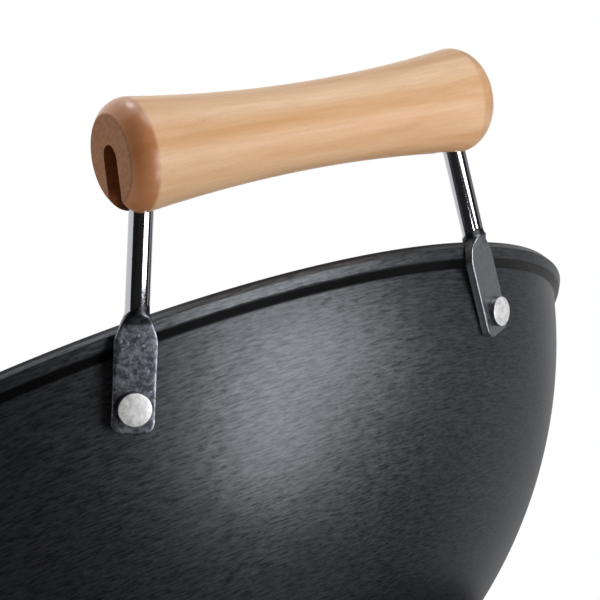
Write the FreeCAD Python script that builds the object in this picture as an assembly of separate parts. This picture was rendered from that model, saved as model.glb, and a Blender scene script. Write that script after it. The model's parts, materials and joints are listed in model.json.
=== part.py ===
import FreeCAD, Part

# Electric wok: a round-bottomed steel pan with two riveted loop handles, lifted off a heating base.
# Millimetres, +Z up. The origin is on the table under the middle of the pan.
# The handles are at -X and +X, the temperature knob at -Y and the power inlet at +Y.

import math
import os

V = FreeCAD.Vector
X_AXIS = V(1, 0, 0)
Y_AXIS = V(0, 1, 0)
Z_AXIS = V(0, 0, 1)

# ---- pan -------------------------------------------------------------------------------------
RIM_RADIUS = 180.0            # outside of the lip
LIP_OVERHANG = 4.7            # lip beyond the wall under it
LIP_DEPTH = 7.4               # rim plane down to where the lip meets the wall
LIP_BAND_TOP = 2.8            # top of the upright outer band, below the rim plane
LIP_BAND_HEIGHT = 2.5
LIP_CROWN_INSET = 1.2         # how far the band's top leans in to the rim plane
LIP_EDGE_ROUND = 0.5
LIP_BAND_TAPER = 1.7          # how far the band's foot is in from the lip's outside
WALL_LEAN = math.radians(18.9)  # wall's lean from upright just under the lip
WALL = 2.5
FLOOR_THICKNESS = 3.5
FLAT_RADIUS = 60.0            # flat underside that sits on the heating plate

# ---- handles ---------------------------------------------------------------------------------
ROD_RADIUS = 3.5
ROD_BEND = 7.5                # centre-line radius of the bends hidden in the grip
PADDLE_WIDTH = 12.2
PADDLE_THICKNESS = 2.9
PADDLE_LIP_GAP = 0.45
PADDLE_WALL_GAP = 0.85        # under the rivet
PADDLE_ABOVE_RIVET = 19.0     # full width
PADDLE_THIN = 24.2            # full flatness, past the lip
PADDLE_BELOW_RIVET = 7.4
PADDLE_CORNER = 2.6
SHOULDER_LENGTH = 7.8         # from full paddle width to round rod
RIVET_SPREAD = 65.25          # rivet from the handle's middle
RIVET_DROP = 21.2             # rivet below the rim plane
GRIP_RISE = 36.45             # grip's axis above the rim plane
GRIP_LEG_SPREAD = 52.27       # leg from the handle's middle, at the grip's axis
GRIP_HALF_LENGTH = 62.5
GRIP_WAIST_RADIUS = 12.75
GRIP_END_RADIUS = 16.15
GRIP_END_ROUND = 7.8          # round-over, stopping at the flat end face
GRIP_END_RUN = 7.0            # length of the round-over along the grip
BORE_CLEARANCE = 0.4
RIVET_RADIUS = 2.5
RIVET_HEAD_RADIUS = 4.8
RIVET_HEAD_HEIGHT = 3.0
RIVET_HEAD_EDGE = 0.8
RIVET_TAIL_RADIUS = 4.6
RIVET_TAIL_HEIGHT = 1.6
RIVET_TAIL_ROUND = 1.0

# ---- base shell ------------------------------------------------------------------------------
FOOT_HEIGHT = 8.0
FOOT_RADIUS = 12.0
FOOT_TAPER = 1.0
FOOT_COUNTERBORE = FOOT_HEIGHT / 2
FOOT_EDGE_ROUND = 0.8
DRIVER_CLEARANCE = 1.5        # screwdriver round a screw head
FOOT_SCREW_BITE = 14.0        # foot screw into its boss
HOUSING_HEIGHT = 81.5
HOUSING_WALL = 3.0
HOUSING_FLARE = 6.0           # bottom radius beyond the shoulder radius
SHOULDER_WIDTH = 19.0         # trim ring's recess out to the shoulder
SHOULDER_ROUND = 12.0
RING_RECESS = 3.5
RING_PROUD = 0.7
RING_SHEET = 0.8
RING_ROUND = 1.4
RING_INSET = 2.2              # ring's inside from the tray's inside
RING_GAP = 0.3
LEDGE_WIDTH = 7.0
TRAY_GAP = 4.0                # tray to the ledge's inside
BOSS_RADIUS = 6.0
FLANGE_BOSS_RADIUS = 4.8
FLANGE_BOSS_DEPTH = 8.0
FLANGE_SCREW_LENGTH = 8.0
FLANGE_HEAD_RATIO = 1.7
COVER_THICKNESS = 1.2
COVER_GAP = 0.4
VENT_COUNT = 20
VENT_WIDTH = 3.6
VENT_INNER = 44.0
VENT_LENGTH = 26.0

# ---- heating ---------------------------------------------------------------------------------
SEAT_GAP = 0.3                # pan to plate
DISH_WIDTH = 20.0             # dished ring of the plate round the pan's flat
PLATE_EDGE = 2.0
PLATE_THICKNESS = 10.0
PLATE_BELOW_RING = 2.0        # plate's edge below the top of the trim ring
PLATE_BOSS_RADIUS = 7.0
PLATE_BOSS_HEIGHT = 8.0
PLATE_BOSS_INSET = 16.0       # boss centre in from the plate's edge
PLATE_AIR_GAP = 7.0
SPACER_RADIUS = 5.0
SPACER_HEIGHT = 11.0
SHEET = 1.0                   # tray and clips
TRAY_ROUND = 5.0
TRAY_EDGE_ROUND = 1.5
ELEMENT_RADIUS = 3.3
ELEMENT_INSET = 30.0          # element's loop in from the plate's edge
ELEMENT_BEND = 10.0
ELEMENT_GAP_ANGLE = 44.0      # open part of the loop, in degrees
ELEMENT_TAIL = 8.0            # sheath below the tray
TERMINAL_RADIUS = 1.4
TERMINAL_LENGTH = 9.0
COLLAR_RADIUS = 2.4
COLLAR_LENGTH = 6.0
COLLAR_END = 1.0              # pin's tip beyond its collar
BUSH_WALL = 2.7
BUSH_LIP = 1.0
BUSH_LENGTH = 4.0
CLIP_EAR = 8.0
CLIP_WIDTH = 8.0
CLIP_SLACK = 0.25             # clip to the tube it holds
CLIP_SCREW_BITE = 5.0
CLIP_ANGLES = (40, 140, 240, 300)
BULB_RADIUS = 3.0
BULB_LENGTH = 36.0
BULB_OFFSET = 25.0
CAPILLARY_RADIUS = 1.0
CAPILLARY_BEND = 6.0
CAPILLARY_ASIDE = 16.0        # beyond the bulb's end
CAPILLARY_DROP = 12.0         # below the tray

# ---- pan sensor ------------------------------------------------------------------------------
CUP_RADIUS = 16.0
CUP_GAP = 0.6
CUP_WALL = 1.2
CUP_HEIGHT = 14.0
CUP_EDGE_ROUND = 1.0
STEM_RADIUS = 3.0
RUNNING_GAP = 0.06
GUIDE_WALL = 2.5
GUIDE_ABOVE = 9.0
GUIDE_BELOW = 4.0
STEM_BELOW = 9.0
SPRING_WIRE = 0.6             # radius
SPRING_RADIUS = 8.5
SPRING_TURNS = 6
SPRING_SIDES = 8              # faces round the wire
DISC_RADIUS = 7.0
DISC_HEIGHT = 6.0
STOP_THICKNESS = 0.9
STOP_WIDTH = 2.2
GROOVE_DEPTH = 0.8
GUIDE_FLANGE = 1.6

# ---- control pod -----------------------------------------------------------------------------
POD_WIDTH = 112.0
POD_HEIGHT = 64.0
POD_ABOVE_BOTTOM = 4.0        # pod's underside above the housing's bottom edge
POD_PROJECTION = 12.0         # beyond the housing's bottom radius
POD_ROUND = 8.0
POD_FACE_WALL = 4.0
POD_REACH = 22.0              # pods run this far inside the shoulder
PANEL_MARGIN = 4.0
PANEL_THICKNESS = 1.5
PANEL_ROUND = 5.0
PANEL_GAP = 0.2
KNOB_RADIUS = 18.0
KNOB_GRIP_RADIUS = 15.0
KNOB_TOP_RADIUS = 13.6
KNOB_HEIGHT = 19.5
KNOB_SKIRT = 3.6
KNOB_SKIRT_ROUND = 1.2
KNOB_SKIRT_CROWN = 0.6
KNOB_TOP_ROUND = 2.0
KNOB_GAP = 0.8                # knob to panel
KNOB_RECESS_GAP = 3.0         # knob's recess round the bushing
KNOB_FLUTES = 14
FLUTE_RADIUS = 2.6
FLUTE_DEPTH = 1.2
FLUTE_ABOVE_SKIRT = 1.6
KNOB_TRAVEL = 270.0           # degrees
SHAFT_RADIUS = 3.0
SHAFT_FLAT = 1.0              # depth of the D's flat
SHAFT_END_GAP = 0.5
SHAFT_IN_KNOB = 13.0
SHAFT_BARE = 2.2              # between the knob's back and its bore
BUSHING_RADIUS = 4.6
BUSHING_PROUD = 1.2
POINTER_WIDTH = 1.4
POINTER_PROUD = 0.3
POINTER_DEPTH = 1.0
POINTER_INSET = 2.2           # pointer's outer end from the knob's edge
POINTER_LENGTH = 8.0
MARK_COUNT = 11
MARK_GAP = 1.6                # knob to marks
MARK_LENGTH = 2.6
MARK_SHORT_LENGTH = 1.6
MARK_WIDTH = 0.9
MARK_THICKNESS = 0.15
THERMOSTAT_WIDTH = 36.0
THERMOSTAT_DEPTH = 24.0
THERMOSTAT_HEIGHT = 28.0
THERMOSTAT_ROUND = 2.0
THERMOSTAT_BITE = 6.0         # screw into the thermostat's body
SCREW_SPACING = 28.0
LAMP_FROM_END = 10.0          # lamp's middle in from the panel's end
LAMP_RADIUS = 4.4
LAMP_LENS_RADIUS = 5.6
LAMP_LENS_RISE = 2.4
LAMP_LENS_ROUND = 1.7
LAMP_LENGTH = 14.0
LAMP_COLLAR_RADIUS = 7.0
LAMP_COLLAR_LENGTH = 3.0
TAB_WIDTH = 6.3
TAB_THICKNESS = 0.8
TAB_LENGTH = 8.0

# ---- power inlet -----------------------------------------------------------------------------
INLET_POD_WIDTH = 68.0
INLET_POD_HEIGHT = 40.0
INLET_POD_RISE = 10.0         # above the housing's bottom edge
INLET_PROJECTION = 4.0
INLET_FLANGE_WIDTH = 50.0
INLET_FLANGE_HEIGHT = 24.0
INLET_FLANGE_THICKNESS = 2.5
INLET_FLANGE_ROUND = 4.0
INLET_BODY_WIDTH = 27.0
INLET_BODY_HEIGHT = 20.0
INLET_BODY_DEPTH = 20.0
INLET_MOUTH_WIDTH = 24.0
INLET_MOUTH_HEIGHT = 16.0
INLET_MOUTH_DEPTH = 17.0
INLET_MOUTH_CHAMFER = 4.0
INLET_SCREW_SPACING = 40.0
PIN_WIDTH = 2.0
PIN_HEIGHT = 4.0
PIN_SPREAD = 7.0
PIN_RISE = 2.0
PIN_LENGTH = 14.0

# ---- fasteners, leads and shared clearances -----------------------------------------------------
M3 = 1.5                      # screw radii
M4 = 2.0
HEAD_RATIO = 1.9              # head radius to screw radius
HEAD_HEIGHT_RATIO = 1.1
NUT_HEIGHT = 2.4
HOLE_CLEARANCE = 0.15
THREAD_CLEARANCE = 0.03
FIT = 0.05
LEAD_RADIUS = 1.3
LAMP_LEAD_RADIUS = 0.9
LEAD_BEND = 8.0
FUSE_RADIUS = 2.2
FUSE_LENGTH = 16.0
FUSE_SIDE = 28.0
LEAD_SIDE = 40.0
LEAD_RISE = 22.0              # leads' level over the bottom cover
LEAD_REACH = 60.0             # leads' level run, each way from the middle
LEAD_START = 14.0             # straight run out of the inlet's tabs
TAG_THICKNESS = 1.0
TAG_BARREL = 5.0
TAG_MARGIN = 0.6
EARTH_INSET = 20.0            # earth screw in from the bosses' circle
TINY = 1e-6
PROBE = 1.0                   # how far cutting shapes run past what they cut


# ---- helpers ---------------------------------------------------------------------------------
def polar(radius, degrees, z=0.0):
    a = math.radians(degrees)
    return V(radius * math.cos(a), radius * math.sin(a), z)


def rounded_wire(corners):
    """Closed wire through (point, corner radius) pairs."""
    count = len(corners)
    ends = []
    for i, (p, radius) in enumerate(corners):
        if radius <= 0:
            ends.append((p, None, p))
            continue
        back = (corners[i - 1][0] - p).normalize()
        ahead = (corners[(i + 1) % count][0] - p).normalize()
        half = back.getAngle(ahead) / 2
        cut = radius / math.tan(half)
        middle = (back + ahead).normalize()
        centre = p + middle * (radius / math.sin(half))
        ends.append((p + back * cut, centre - middle * radius, p + ahead * cut))
    edges = []
    for i, (start, middle, end) in enumerate(ends):
        if middle is not None:
            edges.append(Part.Arc(start, middle, end).toShape())
        following = ends[(i + 1) % count][0]
        if end.distanceToPoint(following) > TINY:
            edges.append(Part.LineSegment(end, following).toShape())
    return Part.Wire(edges)


def profile(points):
    """Face in the XZ plane from (r, z) or (r, z, corner radius) points."""
    corners = [(V(p[0], 0, p[1]), p[2] if len(p) > 2 else 0) for p in points]
    return Part.Face(rounded_wire(corners))


def turned(points):
    """Solid of revolution about +Z."""
    return profile(points).revolve(V(), Z_AXIS, 360)


def disc(radius, low, high, centre=V()):
    return Part.makeCylinder(radius, high - low, V(centre.x, centre.y, low))


def tube(outer, inner, low, high, centre=V()):
    return disc(outer, low, high, centre).cut(disc(inner, low - 1, high + 1, centre))


def block(x, y, z):
    """Box from (low, high) pairs."""
    return Part.makeBox(x[1] - x[0], y[1] - y[0], z[1] - z[0], V(x[0], y[0], z[0]))


def span(middle, size):
    return (middle - size / 2, middle + size / 2)


def rounded_plate(width, height, thickness, radius, centre):
    """Plate in the XZ plane with rounded corners, from centre towards +Y."""
    x, z = width / 2, height / 2
    corners = [(V(i * x, 0, j * z), radius) for i, j in ((-1, -1), (1, -1), (1, 1), (-1, 1))]
    plate = Part.Face(rounded_wire(corners)).extrude(V(0, thickness, 0))
    plate.translate(centre)
    return plate


def framed(shape, origin, x, y, z):
    """Moves a shape modelled at the origin to a frame given by its three axes."""
    m = FreeCAD.Matrix(x.x, y.x, z.x, origin.x, x.y, y.y, z.y, origin.y, x.z, y.z, z.z, origin.z, 0, 0, 0, 1)
    placed = shape.copy()
    placed.Placement = FreeCAD.Placement(m).multiply(shape.Placement)
    return placed


def facing(shape, origin, direction):
    """Moves a turned shape so that its +Z looks along direction."""
    placed = shape.copy()
    turn = FreeCAD.Placement(origin, FreeCAD.Rotation(Z_AXIS, direction))
    placed.Placement = turn.multiply(shape.Placement)
    return placed


def towards_front(shape, x, y, z):
    """Turned shape whose +Z becomes -Y, with its origin at (x, y, z) and its +Y up."""
    return framed(shape, V(x, y, z), X_AXIS, Z_AXIS, V(0, -1, 0))


def joined(shapes):
    shapes = list(shapes)
    return shapes[0].multiFuse(shapes[1:]).removeSplitter() if len(shapes) > 1 else shapes[0]


def without(shape, tools):
    for tool in tools:
        shape = shape.cut(tool)
    return shape


def group(shapes):
    return Part.makeCompound(list(shapes))


def bent_rod(points, radius, bend):
    """Round rod along straight runs joined by tangent arcs."""
    pieces = []
    start = points[0]
    for before, corner, after in zip(points, points[1:], points[2:]):
        back = (before - corner).normalize()
        ahead = (after - corner).normalize()
        turn = math.pi - back.getAngle(ahead)
        cut = bend * math.tan(turn / 2)
        entry = corner + back * cut
        middle = (back + ahead).normalize()
        centre = corner + middle * (bend / math.cos(turn / 2))
        if start.distanceToPoint(entry) > TINY:
            pieces.append(Part.makeCylinder(radius, start.distanceToPoint(entry), start, entry - start))
        ring = Part.Face(Part.Wire(Part.Circle(entry, back, radius).toShape()))
        axis = (entry - centre).cross(corner + ahead * cut - centre)
        pieces.append(ring.revolve(centre, axis, math.degrees(turn)))
        start = corner + ahead * cut
    pieces.append(Part.makeCylinder(radius, start.distanceToPoint(points[-1]), start, points[-1] - start))
    return joined(pieces)


def screw(radius, length, head_ratio=HEAD_RATIO):
    """Pan-head screw: head above z 0, shank below."""
    head = turned([
        (0, 0), (radius * head_ratio, 0), (radius * head_ratio, radius * HEAD_HEIGHT_RATIO, radius * 0.5),
        (0, radius * HEAD_HEIGHT_RATIO),
    ])
    slot = block(span(0, radius * head_ratio * 1.3), span(0, radius * 0.35),
                 (radius * HEAD_HEIGHT_RATIO * 0.5, radius * 2))
    cross = slot.copy().rotate(V(), Z_AXIS, 90)
    return joined([head, disc(radius, -length, 0)]).cut(slot).cut(cross)


def screw_up(radius, length, places, level):
    """Screws driven upwards from under a face at a level."""
    one = framed(screw(radius, length), V(0, 0, level), X_AXIS, V(0, -1, 0), V(0, 0, -1))
    return group([one.translated(V(p.x, p.y, 0)) for p in places])


def clearance_holes(radius, low, high, places):
    return [disc(radius + HOLE_CLEARANCE, low - PROBE, high + PROBE, p) for p in places]


def tapped_holes(radius, low, high, places):
    return [disc(radius + THREAD_CLEARANCE, low, high, p) for p in places]


def hexagon_nut(radius, height):
    corners = [(polar(radius * 2.1, 60 * i), 0) for i in range(6)]
    return Part.Face(rounded_wire(corners)).extrude(V(0, 0, height)).cut(
        disc(radius + THREAD_CLEARANCE, -1, height + 1))


# ---- places worked out from the sizes --------------------------------------------------------
# Pan, below its rim plane
WALL_RADIUS = RIM_RADIUS - LIP_OVERHANG
SPHERE = WALL_RADIUS / math.cos(WALL_LEAN)
SPHERE_RISE = SPHERE * math.sin(WALL_LEAN) - LIP_DEPTH
PAN_DEPTH = math.sqrt(SPHERE ** 2 - FLAT_RADIUS ** 2) - SPHERE_RISE

# Base, from the table up and from the plate outwards
HOUSING_BOTTOM = FOOT_HEIGHT
HOUSING_TOP = HOUSING_BOTTOM + HOUSING_HEIGHT
LEDGE = HOUSING_TOP - RING_RECESS
RING_TOP = HOUSING_TOP + RING_PROUD
COVER_TOP = HOUSING_BOTTOM + COVER_THICKNESS
DISH_RADIUS = FLAT_RADIUS + DISH_WIDTH
PLATE_RADIUS = DISH_RADIUS + PLATE_EDGE
DISH_SPHERE = SPHERE + SEAT_GAP
DISH_TOP = RING_TOP - PLATE_BELOW_RING
PAN_CENTRE = DISH_TOP + math.sqrt(DISH_SPHERE ** 2 - DISH_RADIUS ** 2)
RIM = PAN_CENTRE - SPHERE_RISE
PAN_BOTTOM = RIM - PAN_DEPTH
PLATE_TOP = PAN_BOTTOM - SEAT_GAP
PLATE_UNDER = PLATE_TOP - PLATE_THICKNESS
TRAY_FLOOR = PLATE_UNDER - PLATE_BOSS_HEIGHT - SPACER_HEIGHT
TRAY_UNDER = TRAY_FLOOR - SHEET
TRAY_INNER = PLATE_RADIUS + PLATE_AIR_GAP
OPENING = TRAY_INNER + SHEET + TRAY_GAP
RECESS_RADIUS = OPENING + LEDGE_WIDTH
SHOULDER_RADIUS = RECESS_RADIUS + SHOULDER_WIDTH
BOTTOM_RADIUS = SHOULDER_RADIUS + HOUSING_FLARE
BOSS_CIRCLE = (OPENING + RECESS_RADIUS) / 2
BOSS_PLACES = [polar(BOSS_CIRCLE, 45 + 90 * i) for i in range(4)]
EARTH_PLACE = V(0, BOSS_CIRCLE - EARTH_INSET, 0)
RING_INNER = TRAY_INNER + RING_INSET
RING_OUTER = RECESS_RADIUS - RING_GAP
FLANGE_PLACES = [polar((RING_INNER + RING_OUTER) / 2, 90 * i) for i in range(4)]
PLATE_BOSS_PLACES = [polar(PLATE_RADIUS - PLATE_BOSS_INSET, 90 + 120 * i) for i in range(3)]
ELEMENT_LOOP = PLATE_RADIUS - ELEMENT_INSET
CLIP_REACH = ELEMENT_RADIUS + CLIP_SLACK + SHEET + CLIP_EAR / 2
BULB_DROP = BULB_RADIUS + FIT
BULB_CLIP_REACH = BULB_RADIUS + CLIP_SLACK + SHEET + CLIP_EAR / 2
BUSH_RADIUS = ELEMENT_RADIUS + BUSH_WALL
CAPILLARY_HOLE = V(BULB_LENGTH / 2 + CAPILLARY_ASIDE, -BULB_OFFSET, 0)
TERMINAL_TOP = TRAY_UNDER - ELEMENT_TAIL
TERMINAL_LOW = TERMINAL_TOP - TERMINAL_LENGTH
TERMINAL_MIDDLE = TERMINAL_LOW + COLLAR_END + COLLAR_LENGTH / 2

# Pan sensor
CUP_TOP = PLATE_TOP
CUP_CEILING = CUP_TOP - CUP_WALL - DISC_HEIGHT
SPRING_SEAT = SPRING_RADIUS + 2 * SPRING_WIRE + 1.0
GUIDE_RADIUS = STEM_RADIUS + RUNNING_GAP + GUIDE_WALL
GUIDE_LOW = TRAY_UNDER - GUIDE_BELOW
STOP_TOP = GUIDE_LOW - SEAT_GAP
STEM_LOW = TRAY_UNDER - STEM_BELOW

# Pods
POD_FACE = -(BOTTOM_RADIUS + POD_PROJECTION)
POD_LOW = HOUSING_BOTTOM + POD_ABOVE_BOTTOM
POD_MIDDLE = POD_LOW + POD_HEIGHT / 2
PANEL_WIDTH = POD_WIDTH - 2 * POD_ROUND
LAMP_OFFSET = PANEL_WIDTH / 2 - LAMP_FROM_END
PANEL_HEIGHT = POD_HEIGHT - 4 * PANEL_MARGIN
SHAFT_TIP = KNOB_GAP + SHAFT_BARE + SHAFT_IN_KNOB
THERMOSTAT_TAB = THERMOSTAT_WIDTH / 4
THERMOSTAT_BACK = POD_FACE + POD_FACE_WALL + THERMOSTAT_DEPTH
TAB_END = THERMOSTAT_BACK + TAB_LENGTH
INLET_FACE = BOTTOM_RADIUS + INLET_PROJECTION
INLET_INSIDE = INLET_FACE - HOUSING_WALL
INLET_MIDDLE = HOUSING_BOTTOM + INLET_POD_RISE + INLET_POD_HEIGHT / 2
MOUTH_FLOOR = INLET_FACE + INLET_FLANGE_THICKNESS - INLET_MOUTH_DEPTH
INLET_BACK = INLET_FACE - INLET_BODY_DEPTH
INLET_TAB_END = INLET_BACK - TAB_LENGTH
POD_INNER_REACH = SHOULDER_RADIUS - POD_REACH
LEAD_LEVEL = COVER_TOP + LEAD_RISE

# Handle: the leg's centre line goes from the rivet, clear of the lip, to the grip
def wall_radius_at(depth):
    """Outside radius of the pan at a depth below the rim plane."""
    return math.sqrt(SPHERE ** 2 - (SPHERE_RISE + depth) ** 2)


def leg_points():
    """Rivet and grip ends of the +Y leg of the +X handle, and the way its paddle faces."""
    off_wall = PADDLE_THICKNESS / 2 + PADDLE_WALL_GAP
    off_lip = PADDLE_THICKNESS / 2 + PADDLE_LIP_GAP
    outward = wall_radius_at(RIVET_DROP) / SPHERE
    rivet_radius = wall_radius_at(RIVET_DROP) + outward * off_wall
    rivet_z = -RIVET_DROP - off_wall * (SPHERE_RISE + RIVET_DROP) / SPHERE
    lip_z = -LIP_BAND_TOP
    lean = math.atan2(RIM_RADIUS - rivet_radius, lip_z - rivet_z)
    lip_radius = RIM_RADIUS + off_lip / math.cos(lean)
    rise_share = (lip_z - rivet_z) / (GRIP_RISE - rivet_z)
    lip_y = RIVET_SPREAD + (GRIP_LEG_SPREAD - RIVET_SPREAD) * rise_share
    rivet_x = math.sqrt(rivet_radius ** 2 - RIVET_SPREAD ** 2)
    lip_x = math.sqrt(lip_radius ** 2 - lip_y ** 2)
    grip_x = rivet_x + (lip_x - rivet_x) / rise_share
    rivet = V(rivet_x, RIVET_SPREAD, RIM + rivet_z)
    grip = V(grip_x, GRIP_LEG_SPREAD, RIM + GRIP_RISE)
    at_wall = (rivet - V(0, 0, PAN_CENTRE)).normalize()
    turn_to_lip = math.atan2(lip_y, lip_x) - math.atan2(RIVET_SPREAD, rivet_x)
    facing_out = FreeCAD.Rotation(Z_AXIS, math.degrees(turn_to_lip)).multVec(at_wall)
    return rivet, grip, facing_out


LEG_RIVET, LEG_GRIP, WALL_NORMAL = leg_points()
LEG_UP = (LEG_GRIP - LEG_RIVET).normalize()
PADDLE_OUT = (WALL_NORMAL - LEG_UP * WALL_NORMAL.dot(LEG_UP)).normalize()
PADDLE_ACROSS = PADDLE_OUT.cross(LEG_UP)
GRIP_UP = V(LEG_UP.x, 0, LEG_UP.z).normalize()
GRIP_CENTRE = V(LEG_GRIP.x, 0, LEG_GRIP.z)
BEND_CUT = ROD_BEND * math.tan(LEG_UP.getAngle(V(0, -1, 0)) / 2)


def mirrored(shape, normal):
    return shape.mirror(V(), normal)


# ---- pan and handles -------------------------------------------------------------------------
def wok_pan():
    inner = SPHERE - WALL
    inner_top = math.sqrt(inner ** 2 - SPHERE_RISE ** 2)
    floor_drop = PAN_DEPTH - FLOOR_THICKNESS
    inner_floor = math.sqrt(inner ** 2 - (SPHERE_RISE + floor_drop) ** 2)
    outer_top = wall_radius_at(LIP_DEPTH)

    def at(radius, depth):
        return V(radius, 0, RIM - depth)

    def on_sphere(sphere, depth):
        return at(math.sqrt(sphere ** 2 - (SPHERE_RISE + depth) ** 2), depth)

    crown = RIM_RADIUS - LIP_CROWN_INSET
    lip_low = LIP_BAND_TOP + LIP_BAND_HEIGHT
    line = Part.LineSegment
    outline = [
        line(at(0, PAN_DEPTH), at(FLAT_RADIUS, PAN_DEPTH)),
        Part.Arc(at(FLAT_RADIUS, PAN_DEPTH), on_sphere(SPHERE, PAN_DEPTH / 2), at(outer_top, LIP_DEPTH)),
        line(at(outer_top, LIP_DEPTH), at(RIM_RADIUS - LIP_BAND_TAPER, lip_low)),
        line(at(RIM_RADIUS - LIP_BAND_TAPER, lip_low), at(RIM_RADIUS, LIP_BAND_TOP)),
        line(at(RIM_RADIUS, LIP_BAND_TOP), at(crown, LIP_EDGE_ROUND)),
        line(at(crown, LIP_EDGE_ROUND), at(crown - LIP_EDGE_ROUND, 0)),
        line(at(crown - LIP_EDGE_ROUND, 0), at(inner_top, 0)),
        Part.Arc(at(inner_top, 0), on_sphere(inner, floor_drop / 2), at(inner_floor, floor_drop)),
        line(at(inner_floor, floor_drop), at(0, floor_drop)),
        line(at(0, floor_drop), at(0, PAN_DEPTH)),
    ]
    pan = Part.Face(Part.Wire([e.toShape() for e in outline])).revolve(V(), Z_AXIS, 360)
    hole = Part.makeCylinder(RIVET_RADIUS + FIT, 4 * WALL, LEG_RIVET + PADDLE_OUT * WALL, PADDLE_OUT * -1)
    holes = [hole, mirrored(hole, Y_AXIS)]
    return without(pan, holes + [mirrored(h, X_AXIS) for h in holes])


def paddle():
    """Flattened end of a leg: +Z up the leg, +Y out from the wall, origin at the rivet."""
    wide, thin = PADDLE_WIDTH / 2, PADDLE_THICKNESS / 2
    top = PADDLE_ABOVE_RIVET + SHOULDER_LENGTH
    low = -PADDLE_BELOW_RIVET
    shoulder_x = (wide + ROD_RADIUS) / 2 + (wide - ROD_RADIUS) / 5
    shoulder_z = top - SHOULDER_LENGTH / 3
    cut = PADDLE_CORNER * math.sqrt(0.5)

    def at(x, z):
        return V(x, 0, z)

    def side_edges(side):
        corner = at(side * (wide - PADDLE_CORNER), low + PADDLE_CORNER)
        return [
            Part.Arc(at(corner.x, low), corner + V(side * cut, 0, -cut), at(side * wide, corner.z)),
            Part.LineSegment(at(side * wide, corner.z), at(side * wide, PADDLE_ABOVE_RIVET)),
            Part.Arc(at(side * wide, PADDLE_ABOVE_RIVET), at(side * shoulder_x, shoulder_z),
                     at(side * ROD_RADIUS, top)),
        ]

    ends = [
        Part.LineSegment(at(PADDLE_CORNER - wide, low), at(wide - PADDLE_CORNER, low)),
        Part.LineSegment(at(-ROD_RADIUS, top), at(ROD_RADIUS, top)),
    ]
    edges = [e.toShape() for e in side_edges(1) + side_edges(-1) + ends]
    outline = Part.Wire(Part.__sortEdges__(edges))
    plan = Part.Face(outline).extrude(V(0, 4 * ROD_RADIUS, 0)).translated(V(0, -2 * ROD_RADIUS, 0))
    side = Part.Face(Part.makePolygon([
        V(-PADDLE_WIDTH, -thin, 2 * low), V(-PADDLE_WIDTH, thin, 2 * low),
        V(-PADDLE_WIDTH, thin, PADDLE_THIN), V(-PADDLE_WIDTH, ROD_RADIUS, top),
        V(-PADDLE_WIDTH, -ROD_RADIUS, top), V(-PADDLE_WIDTH, -thin, PADDLE_THIN),
        V(-PADDLE_WIDTH, -thin, 2 * low),
    ])).extrude(V(2 * PADDLE_WIDTH, 0, 0))
    cone = Part.makeCone(PADDLE_WIDTH, ROD_RADIUS, PADDLE_WIDTH, at(0, top - PADDLE_WIDTH))
    below = block(span(0, 2 * PADDLE_WIDTH), span(0, 2 * PADDLE_WIDTH), (2 * low, top - PADDLE_WIDTH))
    return plan.common(side).common(joined([cone, below]))


def handle_rod():
    """One rod: flattened end, leg, bend, through the grip and down the other leg."""
    depth = 2 * PADDLE_THICKNESS
    hole = Part.makeCylinder(RIVET_RADIUS + FIT, 2 * depth, V(0, -depth, 0), Y_AXIS)
    flat = framed(paddle().cut(hole), LEG_RIVET, PADDLE_ACROSS, PADDLE_OUT, LEG_UP)
    leg_foot = LEG_RIVET + LEG_UP * (PADDLE_ABOVE_RIVET + SHOULDER_LENGTH)

    def other_side(point):
        return V(point.x, -point.y, point.z)

    path = [leg_foot, LEG_GRIP, other_side(LEG_GRIP), other_side(leg_foot)]
    return joined([bent_rod(path, ROD_RADIUS, ROD_BEND), flat, mirrored(flat, Y_AXIS)])


def handle_grip():
    """Turned wooden spool on the rod, slotted at both ends for the bends."""
    crest = GRIP_HALF_LENGTH - GRIP_END_RUN
    half_crest = crest / 2
    sagitta = GRIP_END_RADIUS - GRIP_WAIST_RADIUS
    sweep = (crest ** 2 + sagitta ** 2) / (2 * sagitta)
    mid_radius = GRIP_WAIST_RADIUS + sweep - math.sqrt(sweep ** 2 - half_crest ** 2)
    round_centre = GRIP_END_RADIUS - GRIP_END_ROUND
    sweep_angle = math.asin(GRIP_END_RUN / GRIP_END_ROUND)

    def at(along, radius):
        return V(radius, along, 0)

    def rounded_to(share):
        angle = sweep_angle * share
        return at(crest + GRIP_END_ROUND * math.sin(angle), round_centre + GRIP_END_ROUND * math.cos(angle))

    line = Part.LineSegment
    half = [
        Part.Arc(at(0, GRIP_WAIST_RADIUS), at(half_crest, mid_radius), at(crest, GRIP_END_RADIUS)),
        Part.Arc(rounded_to(0), rounded_to(0.5), rounded_to(1)),
        line(rounded_to(1), at(GRIP_HALF_LENGTH, 0)),
        line(at(GRIP_HALF_LENGTH, 0), at(0, 0)),
        line(at(0, 0), at(0, GRIP_WAIST_RADIUS)),
    ]
    spool = Part.Face(Part.Wire([e.toShape() for e in half])).revolve(V(), Y_AXIS, 360)
    spool = joined([spool, mirrored(spool, Y_AXIS)])
    bore_radius = ROD_RADIUS + BORE_CLEARANCE
    bore = Part.makeCylinder(bore_radius, 4 * GRIP_HALF_LENGTH, V(0, -2 * GRIP_HALF_LENGTH, 0), Y_AXIS)
    slot_start = GRIP_LEG_SPREAD - BEND_CUT - BORE_CLEARANCE
    slot = block(span(0, 2 * bore_radius), (slot_start, 2 * GRIP_HALF_LENGTH), (-2 * GRIP_END_RADIUS, 0))
    spool = without(spool, [bore, slot, mirrored(slot, Y_AXIS)])
    return framed(spool, GRIP_CENTRE, Y_AXIS.cross(GRIP_UP), Y_AXIS, GRIP_UP)


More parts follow.
